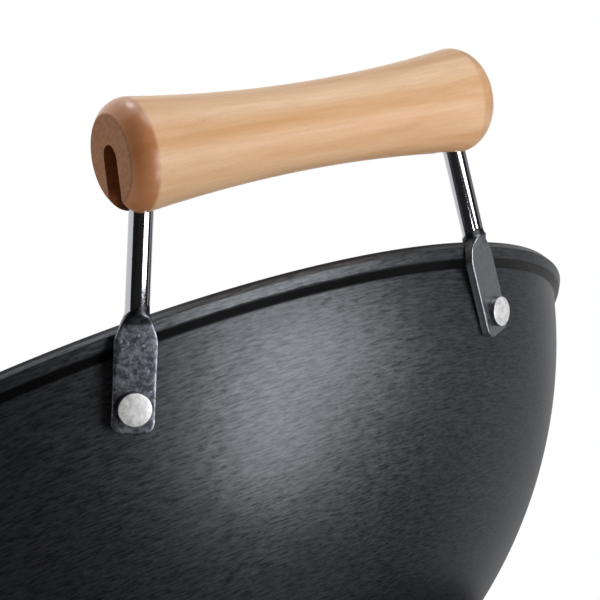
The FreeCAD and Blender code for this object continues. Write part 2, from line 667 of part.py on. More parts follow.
def handle_rivets():
    """Two rivets: thick flat head on the paddle, shank through the wall, low head inside."""
    thin = PADDLE_THICKNESS / 2
    edge_sagitta = (SPHERE - WALL) - math.sqrt((SPHERE - WALL) ** 2 - RIVET_TAIL_RADIUS ** 2)
    tilt = abs(LEG_UP.dot(WALL_NORMAL)) + math.radians(2)
    inside = -(thin + PADDLE_WALL_GAP + WALL + edge_sagitta + RIVET_TAIL_RADIUS * tilt + FIT)
    tail = inside - RIVET_TAIL_HEIGHT
    rivet = turned([
        (0, tail), (RIVET_TAIL_RADIUS, tail, RIVET_TAIL_ROUND),
        (RIVET_TAIL_RADIUS, inside), (RIVET_RADIUS, inside), (RIVET_RADIUS, thin), (RIVET_HEAD_RADIUS, thin),
        (RIVET_HEAD_RADIUS, thin + RIVET_HEAD_HEIGHT, RIVET_HEAD_EDGE), (0, thin + RIVET_HEAD_HEIGHT),
    ])
    placed = facing(rivet, LEG_RIVET, PADDLE_OUT)
    return group([placed, mirrored(placed, Y_AXIS)])


# ---- housing and what closes it -----------------------------------------------------------------
def pod(width, low, height, face, reach, corner, wall, face_wall):
    """Outer and inner solids of a flat-faced pod, on the side where face points."""
    side = 1 if face > 0 else -1
    outer = block(span(0, width), sorted((face, side * reach)), (low, low + height))
    round_face = [e for e in outer.Edges if all(abs(v.Y - face) < TINY for v in e.Vertexes)]
    outer = outer.makeFillet(corner, round_face)
    inner = block(span(0, width - 2 * wall), sorted((face - side * face_wall, side * reach)),
                  (low + wall, low + height - wall))
    inside = face - side * face_wall
    upright = [e for e in inner.Edges if all(abs(v.Y - inside) < TINY for v in e.Vertexes)
               and abs(e.Vertexes[0].X - e.Vertexes[1].X) < TINY]
    return outer, inner.makeFillet(corner - wall, upright)


def base_housing():
    under_ledge = LEDGE - HOUSING_WALL
    under_top = HOUSING_TOP - HOUSING_WALL
    middle = SHOULDER_RADIUS / 2
    outer = turned([
        (middle, HOUSING_BOTTOM), (BOTTOM_RADIUS, HOUSING_BOTTOM),
        (SHOULDER_RADIUS, HOUSING_TOP, SHOULDER_ROUND), (middle, HOUSING_TOP),
    ])
    inner = turned([
        (middle - 1, HOUSING_BOTTOM - 1), (BOTTOM_RADIUS - HOUSING_WALL, HOUSING_BOTTOM - 1),
        (BOTTOM_RADIUS - HOUSING_WALL, HOUSING_BOTTOM),
        (SHOULDER_RADIUS - HOUSING_WALL, under_top, SHOULDER_ROUND - HOUSING_WALL),
        (RECESS_RADIUS + HOUSING_WALL, under_top), (RECESS_RADIUS + HOUSING_WALL, under_ledge),
        (middle - 1, under_ledge),
    ])
    front = pod(POD_WIDTH, POD_LOW, POD_HEIGHT, POD_FACE, POD_INNER_REACH, POD_ROUND,
                HOUSING_WALL, POD_FACE_WALL)
    back = pod(INLET_POD_WIDTH, INLET_MIDDLE - INLET_POD_HEIGHT / 2, INLET_POD_HEIGHT, INLET_FACE,
               POD_INNER_REACH, POD_ROUND / 2, HOUSING_WALL, HOUSING_WALL)
    shell = joined([outer, front[0], back[0]])
    shell = without(shell, [inner, front[1], back[1]])
    bosses = [disc(BOSS_RADIUS, COVER_TOP, LEDGE, p) for p in BOSS_PLACES]
    bosses += [disc(FLANGE_BOSS_RADIUS, under_ledge - FLANGE_BOSS_DEPTH, LEDGE, p) for p in FLANGE_PLACES]
    shell = joined([shell] + bosses)
    shell = without(shell, [
        disc(OPENING, HOUSING_BOTTOM, HOUSING_TOP + PROBE),
        disc(RECESS_RADIUS, LEDGE, HOUSING_TOP + PROBE),
    ])
    shell = without(shell, tapped_holes(M4, 0, COVER_TOP + FOOT_SCREW_BITE + PROBE, BOSS_PLACES))
    shell = without(shell, tapped_holes(M3, LEDGE - FLANGE_SCREW_LENGTH - PROBE, HOUSING_TOP, FLANGE_PLACES))
    return without(shell, front_cuts() + back_cuts())


def on_front(hole, x=0.0, depth=0.0):
    """Turned shape set square to the pod's face, at a depth behind it."""
    return towards_front(hole, x, POD_FACE + depth, POD_MIDDLE)


def front_cuts():
    """Panel's seat and the holes through the pod's face."""
    deep = 2 * POD_FACE_WALL
    head_seat = PANEL_THICKNESS + M3 * HEAD_HEIGHT_RATIO
    cuts = [
        rounded_plate(PANEL_WIDTH + 2 * PANEL_GAP, PANEL_HEIGHT + 2 * PANEL_GAP, PANEL_THICKNESS + PROBE,
                      PANEL_ROUND + PANEL_GAP, V(0, POD_FACE - PROBE, POD_MIDDLE)),
        on_front(disc(BUSHING_RADIUS + HOLE_CLEARANCE, -deep, deep)),
        on_front(disc(LAMP_RADIUS + HOLE_CLEARANCE, -deep, deep), -LAMP_OFFSET),
    ]
    for x in span(0, SCREW_SPACING):
        cuts.append(on_front(disc(M3 + HOLE_CLEARANCE, -deep, deep), x))
        cuts.append(on_front(disc(M3 * HEAD_RATIO + HOLE_CLEARANCE, 0, deep), x, head_seat))
    return cuts


def back_cuts():
    """Cut-out and screw holes for the power inlet."""
    cuts = [block(span(0, INLET_BODY_WIDTH + 2 * HOLE_CLEARANCE), (INLET_INSIDE - PROBE, INLET_FACE + PROBE),
                  span(INLET_MIDDLE, INLET_BODY_HEIGHT + 2 * HOLE_CLEARANCE))]
    for x in span(0, INLET_SCREW_SPACING):
        start = V(x, INLET_INSIDE - HOUSING_WALL, INLET_MIDDLE)
        cuts.append(Part.makeCylinder(M3 + HOLE_CLEARANCE, 3 * HOUSING_WALL, start, Y_AXIS))
    return cuts


def bottom_cover():
    cover = disc(BOTTOM_RADIUS - HOUSING_WALL - COVER_GAP, HOUSING_BOTTOM, COVER_TOP)
    low, high = HOUSING_BOTTOM - PROBE, COVER_TOP + PROBE
    ends = (VENT_INNER, VENT_INNER + VENT_LENGTH)
    slot = joined([block(ends, span(0, VENT_WIDTH), (low, high))]
                  + [disc(VENT_WIDTH / 2, low, high, V(x, 0, 0)) for x in ends])
    slots = [slot.rotated(V(), Z_AXIS, 360 / VENT_COUNT * i) for i in range(VENT_COUNT)]
    return without(cover, [group(slots)] + clearance_holes(M4, HOUSING_BOTTOM, COVER_TOP, BOSS_PLACES))


def rubber_feet():
    bore = M4 + HOLE_CLEARANCE
    counterbore = M4 * HEAD_RATIO + DRIVER_CLEARANCE
    foot = turned([
        (bore, FOOT_COUNTERBORE), (counterbore, FOOT_COUNTERBORE), (counterbore, 0),
        (FOOT_RADIUS - FOOT_TAPER, 0, FOOT_EDGE_ROUND), (FOOT_RADIUS, FOOT_HEIGHT), (bore, FOOT_HEIGHT),
    ])
    return group([foot.translated(p) for p in BOSS_PLACES])


def foot_screws():
    length = FOOT_HEIGHT - FOOT_COUNTERBORE + COVER_THICKNESS + FOOT_SCREW_BITE
    return screw_up(M4, length, BOSS_PLACES, FOOT_COUNTERBORE)


# ---- heating -------------------------------------------------------------------------------------
def element_path(radius):
    """Round bar along the loop and its two downturned ends."""
    start = 90 + ELEMENT_GAP_ANGLE / 2
    ring = Part.Face(Part.Wire(Part.Circle(V(ELEMENT_LOOP, 0, PLATE_UNDER), Y_AXIS, radius).toShape()))
    loop = ring.rotated(V(), Z_AXIS, start).revolve(V(), Z_AXIS, 360 - ELEMENT_GAP_ANGLE)
    end = polar(ELEMENT_LOOP, 90 - ELEMENT_GAP_ANGLE / 2, PLATE_UNDER)
    along = polar(1, 180 - ELEMENT_GAP_ANGLE / 2)
    corner = end + along * ELEMENT_BEND
    tail = bent_rod([end, corner, V(corner.x, corner.y, TRAY_UNDER - ELEMENT_TAIL)], radius, ELEMENT_BEND)
    return joined([loop, tail, mirrored(tail, X_AXIS)])


def element_ends():
    end = polar(ELEMENT_LOOP, 90 - ELEMENT_GAP_ANGLE / 2) + polar(ELEMENT_BEND, 180 - ELEMENT_GAP_ANGLE / 2)
    return [end, V(-end.x, end.y, 0)]


def plate_blank():
    """Cast plate: flat seat, ring dished to the pan's wall, three bosses underneath."""
    flat = math.sqrt(DISH_SPHERE ** 2 - (PAN_CENTRE - PLATE_TOP) ** 2)
    half = (flat + DISH_RADIUS) / 2
    inner = CUP_RADIUS + CUP_GAP

    def at(radius, z):
        return V(radius, 0, z)

    on_dish = at(half, PAN_CENTRE - math.sqrt(DISH_SPHERE ** 2 - half ** 2))
    line = Part.LineSegment
    rim_low = (DISH_TOP + PLATE_UNDER) / 2
    foot = PLATE_RADIUS - PLATE_BOSS_INSET / 2
    outline = [
        line(at(inner, PLATE_TOP), at(flat, PLATE_TOP)),
        Part.Arc(at(flat, PLATE_TOP), on_dish, at(DISH_RADIUS, DISH_TOP)),
        line(at(DISH_RADIUS, DISH_TOP), at(PLATE_RADIUS, DISH_TOP)),
        line(at(PLATE_RADIUS, DISH_TOP), at(PLATE_RADIUS, rim_low)),
        line(at(PLATE_RADIUS, rim_low), at(foot, PLATE_UNDER)),
        line(at(foot, PLATE_UNDER), at(inner, PLATE_UNDER)),
        line(at(inner, PLATE_UNDER), at(inner, PLATE_TOP)),
    ]
    body = Part.Face(Part.Wire([e.toShape() for e in outline])).revolve(V(), Z_AXIS, 360)
    boss_low = PLATE_UNDER - PLATE_BOSS_HEIGHT
    bosses = [disc(PLATE_BOSS_RADIUS, boss_low, PLATE_UNDER + PROBE, p) for p in PLATE_BOSS_PLACES]
    return joined([body] + bosses)


def heating_plate():
    holes = tapped_holes(M4, PLATE_UNDER - PLATE_BOSS_HEIGHT - PROBE, PLATE_UNDER, PLATE_BOSS_PLACES)
    holes += tapped_holes(M3, PLATE_UNDER - PROBE, PLATE_UNDER + CLIP_SCREW_BITE, clip_screw_places())
    return without(plate_blank(), [element_path(ELEMENT_RADIUS + FIT)] + holes)


def heating_element():
    return element_path(ELEMENT_RADIUS)


def clip_screw_places():
    """Clip screws under the plate: two to each element clip and one for the bulb clip."""
    places = [polar(ELEMENT_LOOP + side * CLIP_REACH, a) for a in CLIP_ANGLES for side in (-1, 1)]
    return places + [V(0, -BULB_OFFSET - BULB_CLIP_REACH, 0)]


def saddle(tube_radius, drop, ears):
    """Strap under a tube that runs along Y at a drop below z 0, with ears along X."""
    inner = tube_radius + CLIP_SLACK
    outer = inner + SHEET
    strap = Part.makeCylinder(outer, CLIP_WIDTH, V(0, -CLIP_WIDTH / 2, -drop), Y_AXIS)
    strap = strap.common(block(span(0, 4 * outer), span(0, CLIP_WIDTH), (-4 * outer, -drop)))
    pieces = [strap]
    if drop > SHEET:
        pieces.append(block(span(0, 2 * outer), span(0, CLIP_WIDTH), (-drop, 0)))
    for side in ears:
        x = sorted((side * (inner + SHEET / 2), side * (outer + CLIP_EAR)))
        pieces.append(block(x, span(0, CLIP_WIDTH), (-SHEET, 0)))
    hollow = [Part.makeCylinder(inner, 2 * CLIP_WIDTH, V(0, -CLIP_WIDTH, -drop), Y_AXIS)]
    hollow.append(block(span(0, 2 * inner), span(0, 2 * CLIP_WIDTH), (-drop, 1)))
    holes = clearance_holes(M3, -SHEET, 0, [V(side * (outer + CLIP_EAR / 2), 0, 0) for side in ears])
    return without(joined(pieces), hollow + holes)


def element_clips():
    clip = saddle(ELEMENT_RADIUS, 0, (-1, 1))
    return group([clip.rotated(V(), Z_AXIS, a).translated(polar(ELEMENT_LOOP, a, PLATE_UNDER))
                  for a in CLIP_ANGLES])


def bulb_clip():
    clip = saddle(BULB_RADIUS, BULB_DROP, (-1,)).rotated(V(), Z_AXIS, 90)
    return clip.translated(V(0, -BULB_OFFSET, PLATE_UNDER))


def clip_screws():
    return screw_up(M3, CLIP_SCREW_BITE + SHEET / 2, clip_screw_places(), PLATE_UNDER - SHEET)


def plate_spacers():
    return group([tube(SPACER_RADIUS, M4 + HOLE_CLEARANCE, TRAY_FLOOR, TRAY_FLOOR + SPACER_HEIGHT, p)
                  for p in PLATE_BOSS_PLACES])


def plate_screws():
    length = SHEET + SPACER_HEIGHT + PLATE_BOSS_HEIGHT - PROBE
    return screw_up(M4, length, PLATE_BOSS_PLACES, TRAY_UNDER)


def support_tray():
    """Pressed sheet dish that hangs the plate from the housing's ledge."""
    outer = TRAY_INNER + SHEET
    flange = RECESS_RADIUS - 2 * RING_GAP
    tray = turned([
        (GUIDE_RADIUS + HOLE_CLEARANCE, TRAY_UNDER), (outer, TRAY_UNDER, TRAY_ROUND + SHEET),
        (outer, LEDGE), (flange, LEDGE), (flange, LEDGE + SHEET),
        (TRAY_INNER, LEDGE + SHEET, TRAY_EDGE_ROUND), (TRAY_INNER, TRAY_FLOOR, TRAY_ROUND),
        (GUIDE_RADIUS + HOLE_CLEARANCE, TRAY_FLOOR),
    ])
    holes = clearance_holes(M4, TRAY_UNDER, TRAY_FLOOR, PLATE_BOSS_PLACES)
    holes += clearance_holes(M3, LEDGE, LEDGE + SHEET, FLANGE_PLACES)
    holes += clearance_holes(BUSH_RADIUS - BUSH_LIP - HOLE_CLEARANCE, TRAY_UNDER, TRAY_FLOOR, element_ends())
    holes += clearance_holes(2 * CAPILLARY_RADIUS, TRAY_UNDER, TRAY_FLOOR, [CAPILLARY_HOLE])
    holes += tapped_holes(M3, TRAY_UNDER - PROBE, TRAY_FLOOR + PROBE, [EARTH_PLACE])
    return without(tray, holes)


def tray_screws():
    one = screw(M3, FLANGE_SCREW_LENGTH, head_ratio=FLANGE_HEAD_RATIO)
    return group([one.translated(p + V(0, 0, LEDGE + SHEET)) for p in FLANGE_PLACES])


def trim_ring():
    """Stainless channel that covers the tray's flange and screws."""
    low, under = LEDGE + SHEET, RING_TOP - RING_SHEET
    return turned([
        (RING_INNER, low), (RING_INNER, RING_TOP, RING_ROUND), (RING_OUTER, RING_TOP, RING_ROUND),
        (RING_OUTER, low),
        (RING_OUTER - RING_SHEET, low), (RING_OUTER - RING_SHEET, under),
        (RING_INNER + RING_SHEET, under), (RING_INNER + RING_SHEET, low),
    ])


def element_bushes():
    """Ceramic bushes that carry the element's ends through the tray."""
    bore = ELEMENT_RADIUS + FIT
    neck = BUSH_RADIUS - BUSH_LIP - FIT
    low, high = TRAY_UNDER - BUSH_LENGTH / 2, TRAY_FLOOR + BUSH_LENGTH / 2
    bush = turned([
        (bore, low), (BUSH_RADIUS, low), (BUSH_RADIUS, TRAY_UNDER), (neck, TRAY_UNDER), (neck, TRAY_FLOOR),
        (BUSH_RADIUS, TRAY_FLOOR), (BUSH_RADIUS, high), (bore, high),
    ])
    return group([bush.translated(p) for p in element_ends()])


def element_terminals():
    """Steel pins out of the element's sealed ends, each with a collar for its lead."""
    collar = TERMINAL_LOW + COLLAR_END
    pin = joined([
        disc(TERMINAL_RADIUS, TERMINAL_LOW, TERMINAL_TOP),
        disc(COLLAR_RADIUS, collar, collar + COLLAR_LENGTH),
    ])
    return group([pin.translated(p) for p in element_ends()])


# ---- pan sensor ------------------------------------------------------------------------------------
def sensor_cup():
    """Aluminium cap that presses up on the pan, with its stem."""
    return turned([
        (0, CUP_TOP), (CUP_RADIUS, CUP_TOP, CUP_EDGE_ROUND), (CUP_RADIUS, CUP_TOP - CUP_HEIGHT),
        (CUP_RADIUS - CUP_WALL, CUP_TOP - CUP_HEIGHT), (CUP_RADIUS - CUP_WALL, CUP_TOP - CUP_WALL),
        (0, CUP_TOP - CUP_WALL),
    ])


def sensor_disc():
    """Snap-disc thermostat under the cap, with the stem that guides it."""
    body = turned([
        (0, CUP_TOP - CUP_WALL), (DISC_RADIUS, CUP_TOP - CUP_WALL), (DISC_RADIUS, CUP_CEILING + 2),
        (SPRING_SEAT, CUP_CEILING + 2), (SPRING_SEAT, CUP_CEILING), (STEM_RADIUS, CUP_CEILING),
        (STEM_RADIUS, STEM_LOW), (0, STEM_LOW),
    ])
    groove = tube(STEM_RADIUS + PROBE, STEM_RADIUS - GROOVE_DEPTH, STOP_TOP - STOP_THICKNESS, STOP_TOP)
    return body.cut(groove)


def sensor_guide():
    """Flanged sleeve in the tray that the stem slides in."""
    bore = STEM_RADIUS + RUNNING_GAP
    return turned([
        (bore, GUIDE_LOW), (GUIDE_RADIUS, GUIDE_LOW), (GUIDE_RADIUS, TRAY_FLOOR), (SPRING_SEAT, TRAY_FLOOR),
        (SPRING_SEAT, TRAY_FLOOR + GUIDE_FLANGE), (GUIDE_RADIUS, TRAY_FLOOR + GUIDE_FLANGE),
        (GUIDE_RADIUS, TRAY_FLOOR + GUIDE_ABOVE), (bore, TRAY_FLOOR + GUIDE_ABOVE),
    ])


def sensor_stop():
    """Retaining clip in the stem's groove, under the sleeve."""
    inner = STEM_RADIUS - GROOVE_DEPTH + FIT
    ring = tube(STEM_RADIUS + STOP_WIDTH, inner, STOP_TOP - STOP_THICKNESS + FIT, STOP_TOP - FIT)
    reach = 2 * (STEM_RADIUS + STOP_WIDTH)
    mouth = block((0, reach), span(0, STEM_RADIUS), span(STOP_TOP, 4 * STOP_THICKNESS))
    return ring.cut(mouth)


def sensor_spring():
    low = TRAY_FLOOR + GUIDE_FLANGE + SPRING_WIRE + FIT
    high = CUP_CEILING - SPRING_WIRE - FIT
    coil = Part.makeHelix((high - low) / SPRING_TURNS, high - low, SPRING_RADIUS)
    corners = [polar(SPRING_WIRE, 360 / SPRING_SIDES * (i + 0.5)) for i in range(SPRING_SIDES + 1)]
    section = Part.makePolygon([V(SPRING_RADIUS + c.x, 0, c.y) for c in corners])
    spring = Part.Wire(coil.Edges).makePipeShell([section], True, True)
    return spring.translated(V(0, 0, low))


# ---- controls ------------------------------------------------------------------------------------
def control_panel():
    panel = rounded_plate(PANEL_WIDTH, PANEL_HEIGHT, PANEL_THICKNESS, PANEL_ROUND, V(0, POD_FACE, POD_MIDDLE))
    return without(panel, [
        on_front(disc(BUSHING_RADIUS + HOLE_CLEARANCE, -POD_FACE_WALL, PROBE)),
        on_front(disc(LAMP_RADIUS + HOLE_CLEARANCE, -POD_FACE_WALL, PROBE), -LAMP_OFFSET),
    ])


def mark_angle(index):
    """Angle of a dial mark clockwise from the top, in degrees."""
    return -KNOB_TRAVEL / 2 + KNOB_TRAVEL * index / (MARK_COUNT - 1)


def dial_marks():
    """Printed marks round the knob; every other one is longer."""
    marks = []
    for i in range(MARK_COUNT):
        length = MARK_LENGTH if i % 2 == 0 else MARK_SHORT_LENGTH
        near = KNOB_RADIUS + MARK_GAP
        mark = block(span(0, MARK_WIDTH), (near, near + length), (0, MARK_THICKNESS))
        marks.append(on_front(mark.rotated(V(), Z_AXIS, -mark_angle(i))))
    return group(marks)


def shaft_section(radius, low, high):
    """D-shaped length of shaft along +Z."""
    return disc(radius, low, high).cut(
        block(span(0, 4 * radius), (radius - SHAFT_FLAT, 4 * radius), (low - 1, high + 1)))


def temperature_knob():
    top = KNOB_GAP + KNOB_HEIGHT
    skirt = KNOB_GAP + KNOB_SKIRT
    knob = turned([
        (0, KNOB_GAP), (KNOB_RADIUS, KNOB_GAP), (KNOB_RADIUS, skirt, KNOB_SKIRT_ROUND),
        (KNOB_GRIP_RADIUS, skirt + KNOB_SKIRT_CROWN), (KNOB_TOP_RADIUS, top, KNOB_TOP_ROUND), (0, top),
    ])
    flute_middle = V(KNOB_GRIP_RADIUS + FLUTE_RADIUS - FLUTE_DEPTH, 0, 0)
    flute = disc(FLUTE_RADIUS, skirt + FLUTE_ABOVE_SKIRT, top + PROBE, flute_middle)
    flutes = [flute.rotated(V(), Z_AXIS, 360 / KNOB_FLUTES * (i + 0.5)) for i in range(KNOB_FLUTES)]
    recess = disc(BUSHING_RADIUS + KNOB_RECESS_GAP, 0, BUSHING_PROUD + KNOB_RECESS_GAP / 2)
    bore = shaft_section(SHAFT_RADIUS + FIT, 0, SHAFT_TIP + SHAFT_END_GAP)
    knob = without(knob, [group(flutes), recess, bore, pointer_blank(0)])
    return turned_to_rest(knob)


def pointer_blank(proud):
    top = KNOB_GAP + KNOB_HEIGHT
    reach = KNOB_TOP_RADIUS - POINTER_INSET
    return block(span(0, POINTER_WIDTH), (reach - POINTER_LENGTH, reach), (top - POINTER_DEPTH, top + proud))


def turned_to_rest(shape):
    """Knob parts point at the first mark at rest."""
    return on_front(shape.rotated(V(), Z_AXIS, -mark_angle(0)))


def knob_pointer():
    return turned_to_rest(pointer_blank(POINTER_PROUD))


def thermostat_shaft():
    inside = -POD_FACE_WALL - THERMOSTAT_DEPTH / 2
    shaft = joined([
        disc(SHAFT_RADIUS, inside, BUSHING_PROUD + 1),
        shaft_section(SHAFT_RADIUS, BUSHING_PROUD + 1, SHAFT_TIP),
    ])
    return turned_to_rest(shaft)


def thermostat_body():
    """Rotary thermostat behind the pod's face, with its threaded bushing and two tabs."""
    back = -POD_FACE_WALL - THERMOSTAT_DEPTH
    body = block(span(0, THERMOSTAT_WIDTH), span(0, THERMOSTAT_HEIGHT), (back, -POD_FACE_WALL))
    upright = [e for e in body.Edges if abs(e.Vertexes[0].Z - e.Vertexes[1].Z) > 1]
    body = body.makeFillet(THERMOSTAT_ROUND, upright)
    bushing = disc(BUSHING_RADIUS, -POD_FACE_WALL - 1, BUSHING_PROUD)
    bore_end = -POD_FACE_WALL - THERMOSTAT_DEPTH / 2 - SHAFT_END_GAP
    bore = disc(SHAFT_RADIUS + FIT, bore_end, BUSHING_PROUD + PROBE)
    holes = tapped_holes(M3, -POD_FACE_WALL - THERMOSTAT_BITE - PROBE, PROBE,
                         [V(x, 0, 0) for x in span(0, SCREW_SPACING)])
    tabs = [block(span(x, TAB_THICKNESS), span(0, TAB_WIDTH), (back - TAB_LENGTH, back + PROBE))
            for x in (-THERMOSTAT_TAB, THERMOSTAT_TAB)]
    return on_front(without(joined([body, bushing] + tabs), [bore] + holes))


def thermostat_screws():
    seat = PANEL_THICKNESS + M3 * HEAD_HEIGHT_RATIO
    one = screw(M3, POD_FACE_WALL - seat + THERMOSTAT_BITE)
    return group([on_front(one, x, seat) for x in span(0, SCREW_SPACING)])


def thermostat_bulb():
    """Sensing bulb under the plate and its capillary from the thermostat."""
    bulb_z = PLATE_UNDER - BULB_DROP
    bulb = Part.makeCylinder(BULB_RADIUS, BULB_LENGTH, V(-BULB_LENGTH / 2, -BULB_OFFSET, bulb_z), X_AXIS)
    level = TRAY_UNDER - CAPILLARY_DROP
    side = THERMOSTAT_TAB + CAPILLARY_RADIUS + LEAD_BEND / 2
    route = [
        V(side, THERMOSTAT_BACK, level), V(side, -LEAD_REACH, level),
        V(CAPILLARY_HOLE.x, -BULB_OFFSET, level),
        V(CAPILLARY_HOLE.x, -BULB_OFFSET, bulb_z), V(BULB_LENGTH / 2, -BULB_OFFSET, bulb_z),
    ]
    return joined([bulb, bent_rod(route, CAPILLARY_RADIUS, CAPILLARY_BEND)])


def pilot_lamp_lens():
    stem = LAMP_RADIUS - FIT
    lens = turned([
        (0, -POD_FACE_WALL), (stem, -POD_FACE_WALL), (stem, 0), (LAMP_LENS_RADIUS, 0),
        (LAMP_LENS_RADIUS, LAMP_LENS_RISE, LAMP_LENS_ROUND), (0, LAMP_LENS_RISE),
    ])
    return on_front(lens, -LAMP_OFFSET)


def pilot_lamp_holder():
    """Push-on collar behind the pod's face, and the sealed neon lamp."""
    front = -POD_FACE_WALL
    collar = disc(LAMP_COLLAR_RADIUS, front - LAMP_COLLAR_LENGTH, front)
    holder = joined([collar, disc(LAMP_RADIUS, front - LAMP_LENGTH, front)])
    return on_front(holder, -LAMP_OFFSET)


# ---- power inlet ------------------------------------------------------------------------------------
def inlet_pin_places():
    return [V(-PIN_SPREAD, 0, PIN_RISE), V(PIN_SPREAD, 0, PIN_RISE), V(0, 0, -PIN_RISE)]


def inlet_pins():
    """Three blades with their solder tabs behind."""
    pins = []
    for p in inlet_pin_places():
        z = INLET_MIDDLE + p.z
        blade = block(span(p.x, PIN_WIDTH), (INLET_BACK + 1, MOUTH_FLOOR + PIN_LENGTH), span(z, PIN_HEIGHT))
        tab = block(span(p.x, TAB_THICKNESS), (INLET_BACK - TAB_LENGTH, INLET_BACK + 2), span(z, PIN_HEIGHT))
        pins.append(joined([blade, tab]))
    return group(pins)


def inlet_socket():
    flange = rounded_plate(INLET_FLANGE_WIDTH, INLET_FLANGE_HEIGHT, INLET_FLANGE_THICKNESS,
                           INLET_FLANGE_ROUND, V(0, INLET_FACE, INLET_MIDDLE))
    body = block(span(0, INLET_BODY_WIDTH), (INLET_BACK, INLET_FACE + PROBE),
                 span(INLET_MIDDLE, INLET_BODY_HEIGHT))
    wide, high = INLET_MOUTH_WIDTH / 2, INLET_MOUTH_HEIGHT / 2
    slope = INLET_MOUTH_CHAMFER
    mouth = Part.Face(Part.makePolygon([
        V(-wide, 0, -high), V(wide, 0, -high), V(wide, 0, high - slope), V(wide - slope, 0, high),
        V(-wide + slope, 0, high), V(-wide, 0, high - slope), V(-wide, 0, -high),
    ])).extrude(V(0, INLET_MOUTH_DEPTH + 1, 0)).translated(V(0, MOUTH_FLOOR, INLET_MIDDLE))
    holes = [Part.makeCylinder(M3 + HOLE_CLEARANCE, 2 * INLET_FLANGE_THICKNESS,
                               V(x, INLET_FACE - PROBE, INLET_MIDDLE), Y_AXIS)
             for x in span(0, INLET_SCREW_SPACING)]
    return without(joined([flange, body]), [mouth, inlet_pins()] + holes)


def inlet_screws():
    one = screw(M3, INLET_FLANGE_THICKNESS + HOUSING_WALL + 2 * NUT_HEIGHT)
    y = INLET_FACE + INLET_FLANGE_THICKNESS
    return group([facing(one, V(x, y, INLET_MIDDLE), Y_AXIS) for x in span(0, INLET_SCREW_SPACING)])


def inlet_nuts():
    one = hexagon_nut(M3, NUT_HEIGHT)
    return group([facing(one, V(x, INLET_INSIDE, INLET_MIDDLE), V(0, -1, 0))
                  for x in span(0, INLET_SCREW_SPACING)])


# ---- leads ------------------------------------------------------------------------------------
def from_inlet(x):
    """First two points of a lead that starts at one of the inlet's upper tabs."""
    z = INLET_MIDDLE + PIN_RISE
    return [V(x, INLET_TAB_END, z), V(x, INLET_TAB_END - LEAD_START, z)]


def wiring_live():
    """Inlet to thermostat, then through the thermal fuse to the element."""
    tab_run = TAB_END + LEAD_START
    feed = bent_rod(from_inlet(PIN_SPREAD) + [
        V(LEAD_SIDE, LEAD_REACH, LEAD_LEVEL), V(LEAD_SIDE, -LEAD_REACH, LEAD_LEVEL),
        V(THERMOSTAT_TAB, tab_run, POD_MIDDLE), V(THERMOSTAT_TAB, TAB_END, POD_MIDDLE),
    ], LEAD_RADIUS, LEAD_BEND)
    end = element_ends()[1]
    to_fuse = bent_rod([
        V(-THERMOSTAT_TAB, TAB_END, POD_MIDDLE), V(-THERMOSTAT_TAB, tab_run, POD_MIDDLE),
        V(-FUSE_SIDE, -LEAD_REACH, TERMINAL_MIDDLE), V(-FUSE_SIDE, -FUSE_LENGTH / 2, TERMINAL_MIDDLE),
    ], LEAD_RADIUS, LEAD_BEND)
    to_element = bent_rod([
        V(-FUSE_SIDE, FUSE_LENGTH / 2, TERMINAL_MIDDLE), V(-FUSE_SIDE, end.y, TERMINAL_MIDDLE),
        V(end.x - COLLAR_RADIUS, end.y, TERMINAL_MIDDLE),
    ], LEAD_RADIUS, LEAD_BEND)
    return group([feed, to_fuse, to_element])


def thermal_fuse():
    start = V(-FUSE_SIDE, -FUSE_LENGTH / 2, TERMINAL_MIDDLE)
    return Part.makeCylinder(FUSE_RADIUS, FUSE_LENGTH, start, Y_AXIS)


def wiring_neutral():
    end = element_ends()[0]
    return bent_rod(from_inlet(-PIN_SPREAD) + [
        V(end.x, end.y + LEAD_START, TERMINAL_MIDDLE), V(end.x, end.y + COLLAR_RADIUS, TERMINAL_MIDDLE),
    ], LEAD_RADIUS, LEAD_BEND / 2)


def earth_tag():
    """Ring tag clamped to the tray by the earth screw."""
    low = TRAY_UNDER - TAG_THICKNESS
    ring = tube(M3 * HEAD_RATIO + TAG_MARGIN, M3 + HOLE_CLEARANCE, low, TRAY_UNDER, EARTH_PLACE)
    start = EARTH_PLACE.y + M3 * HEAD_RATIO
    barrel = block(span(0, 2 * LEAD_RADIUS + TAG_MARGIN), (start, start + TAG_BARREL), (low, TRAY_UNDER))
    return joined([ring, barrel])


def earth_screw():
    return screw_up(M3, 2 * SHEET + TAG_THICKNESS + PROBE, [EARTH_PLACE], TRAY_UNDER - TAG_THICKNESS)


def wiring_earth():
    z = INLET_MIDDLE - PIN_RISE
    tag_end = EARTH_PLACE.y + M3 * HEAD_RATIO + TAG_BARREL
    riser = (tag_end + INLET_TAB_END) / 2
    level = TRAY_UNDER - LEAD_RADIUS - FIT
    return bent_rod([
        V(0, INLET_TAB_END, z), V(0, riser, z), V(0, riser, level), V(0, tag_end, level),
    ], LEAD_RADIUS, LEAD_BEND / 2)


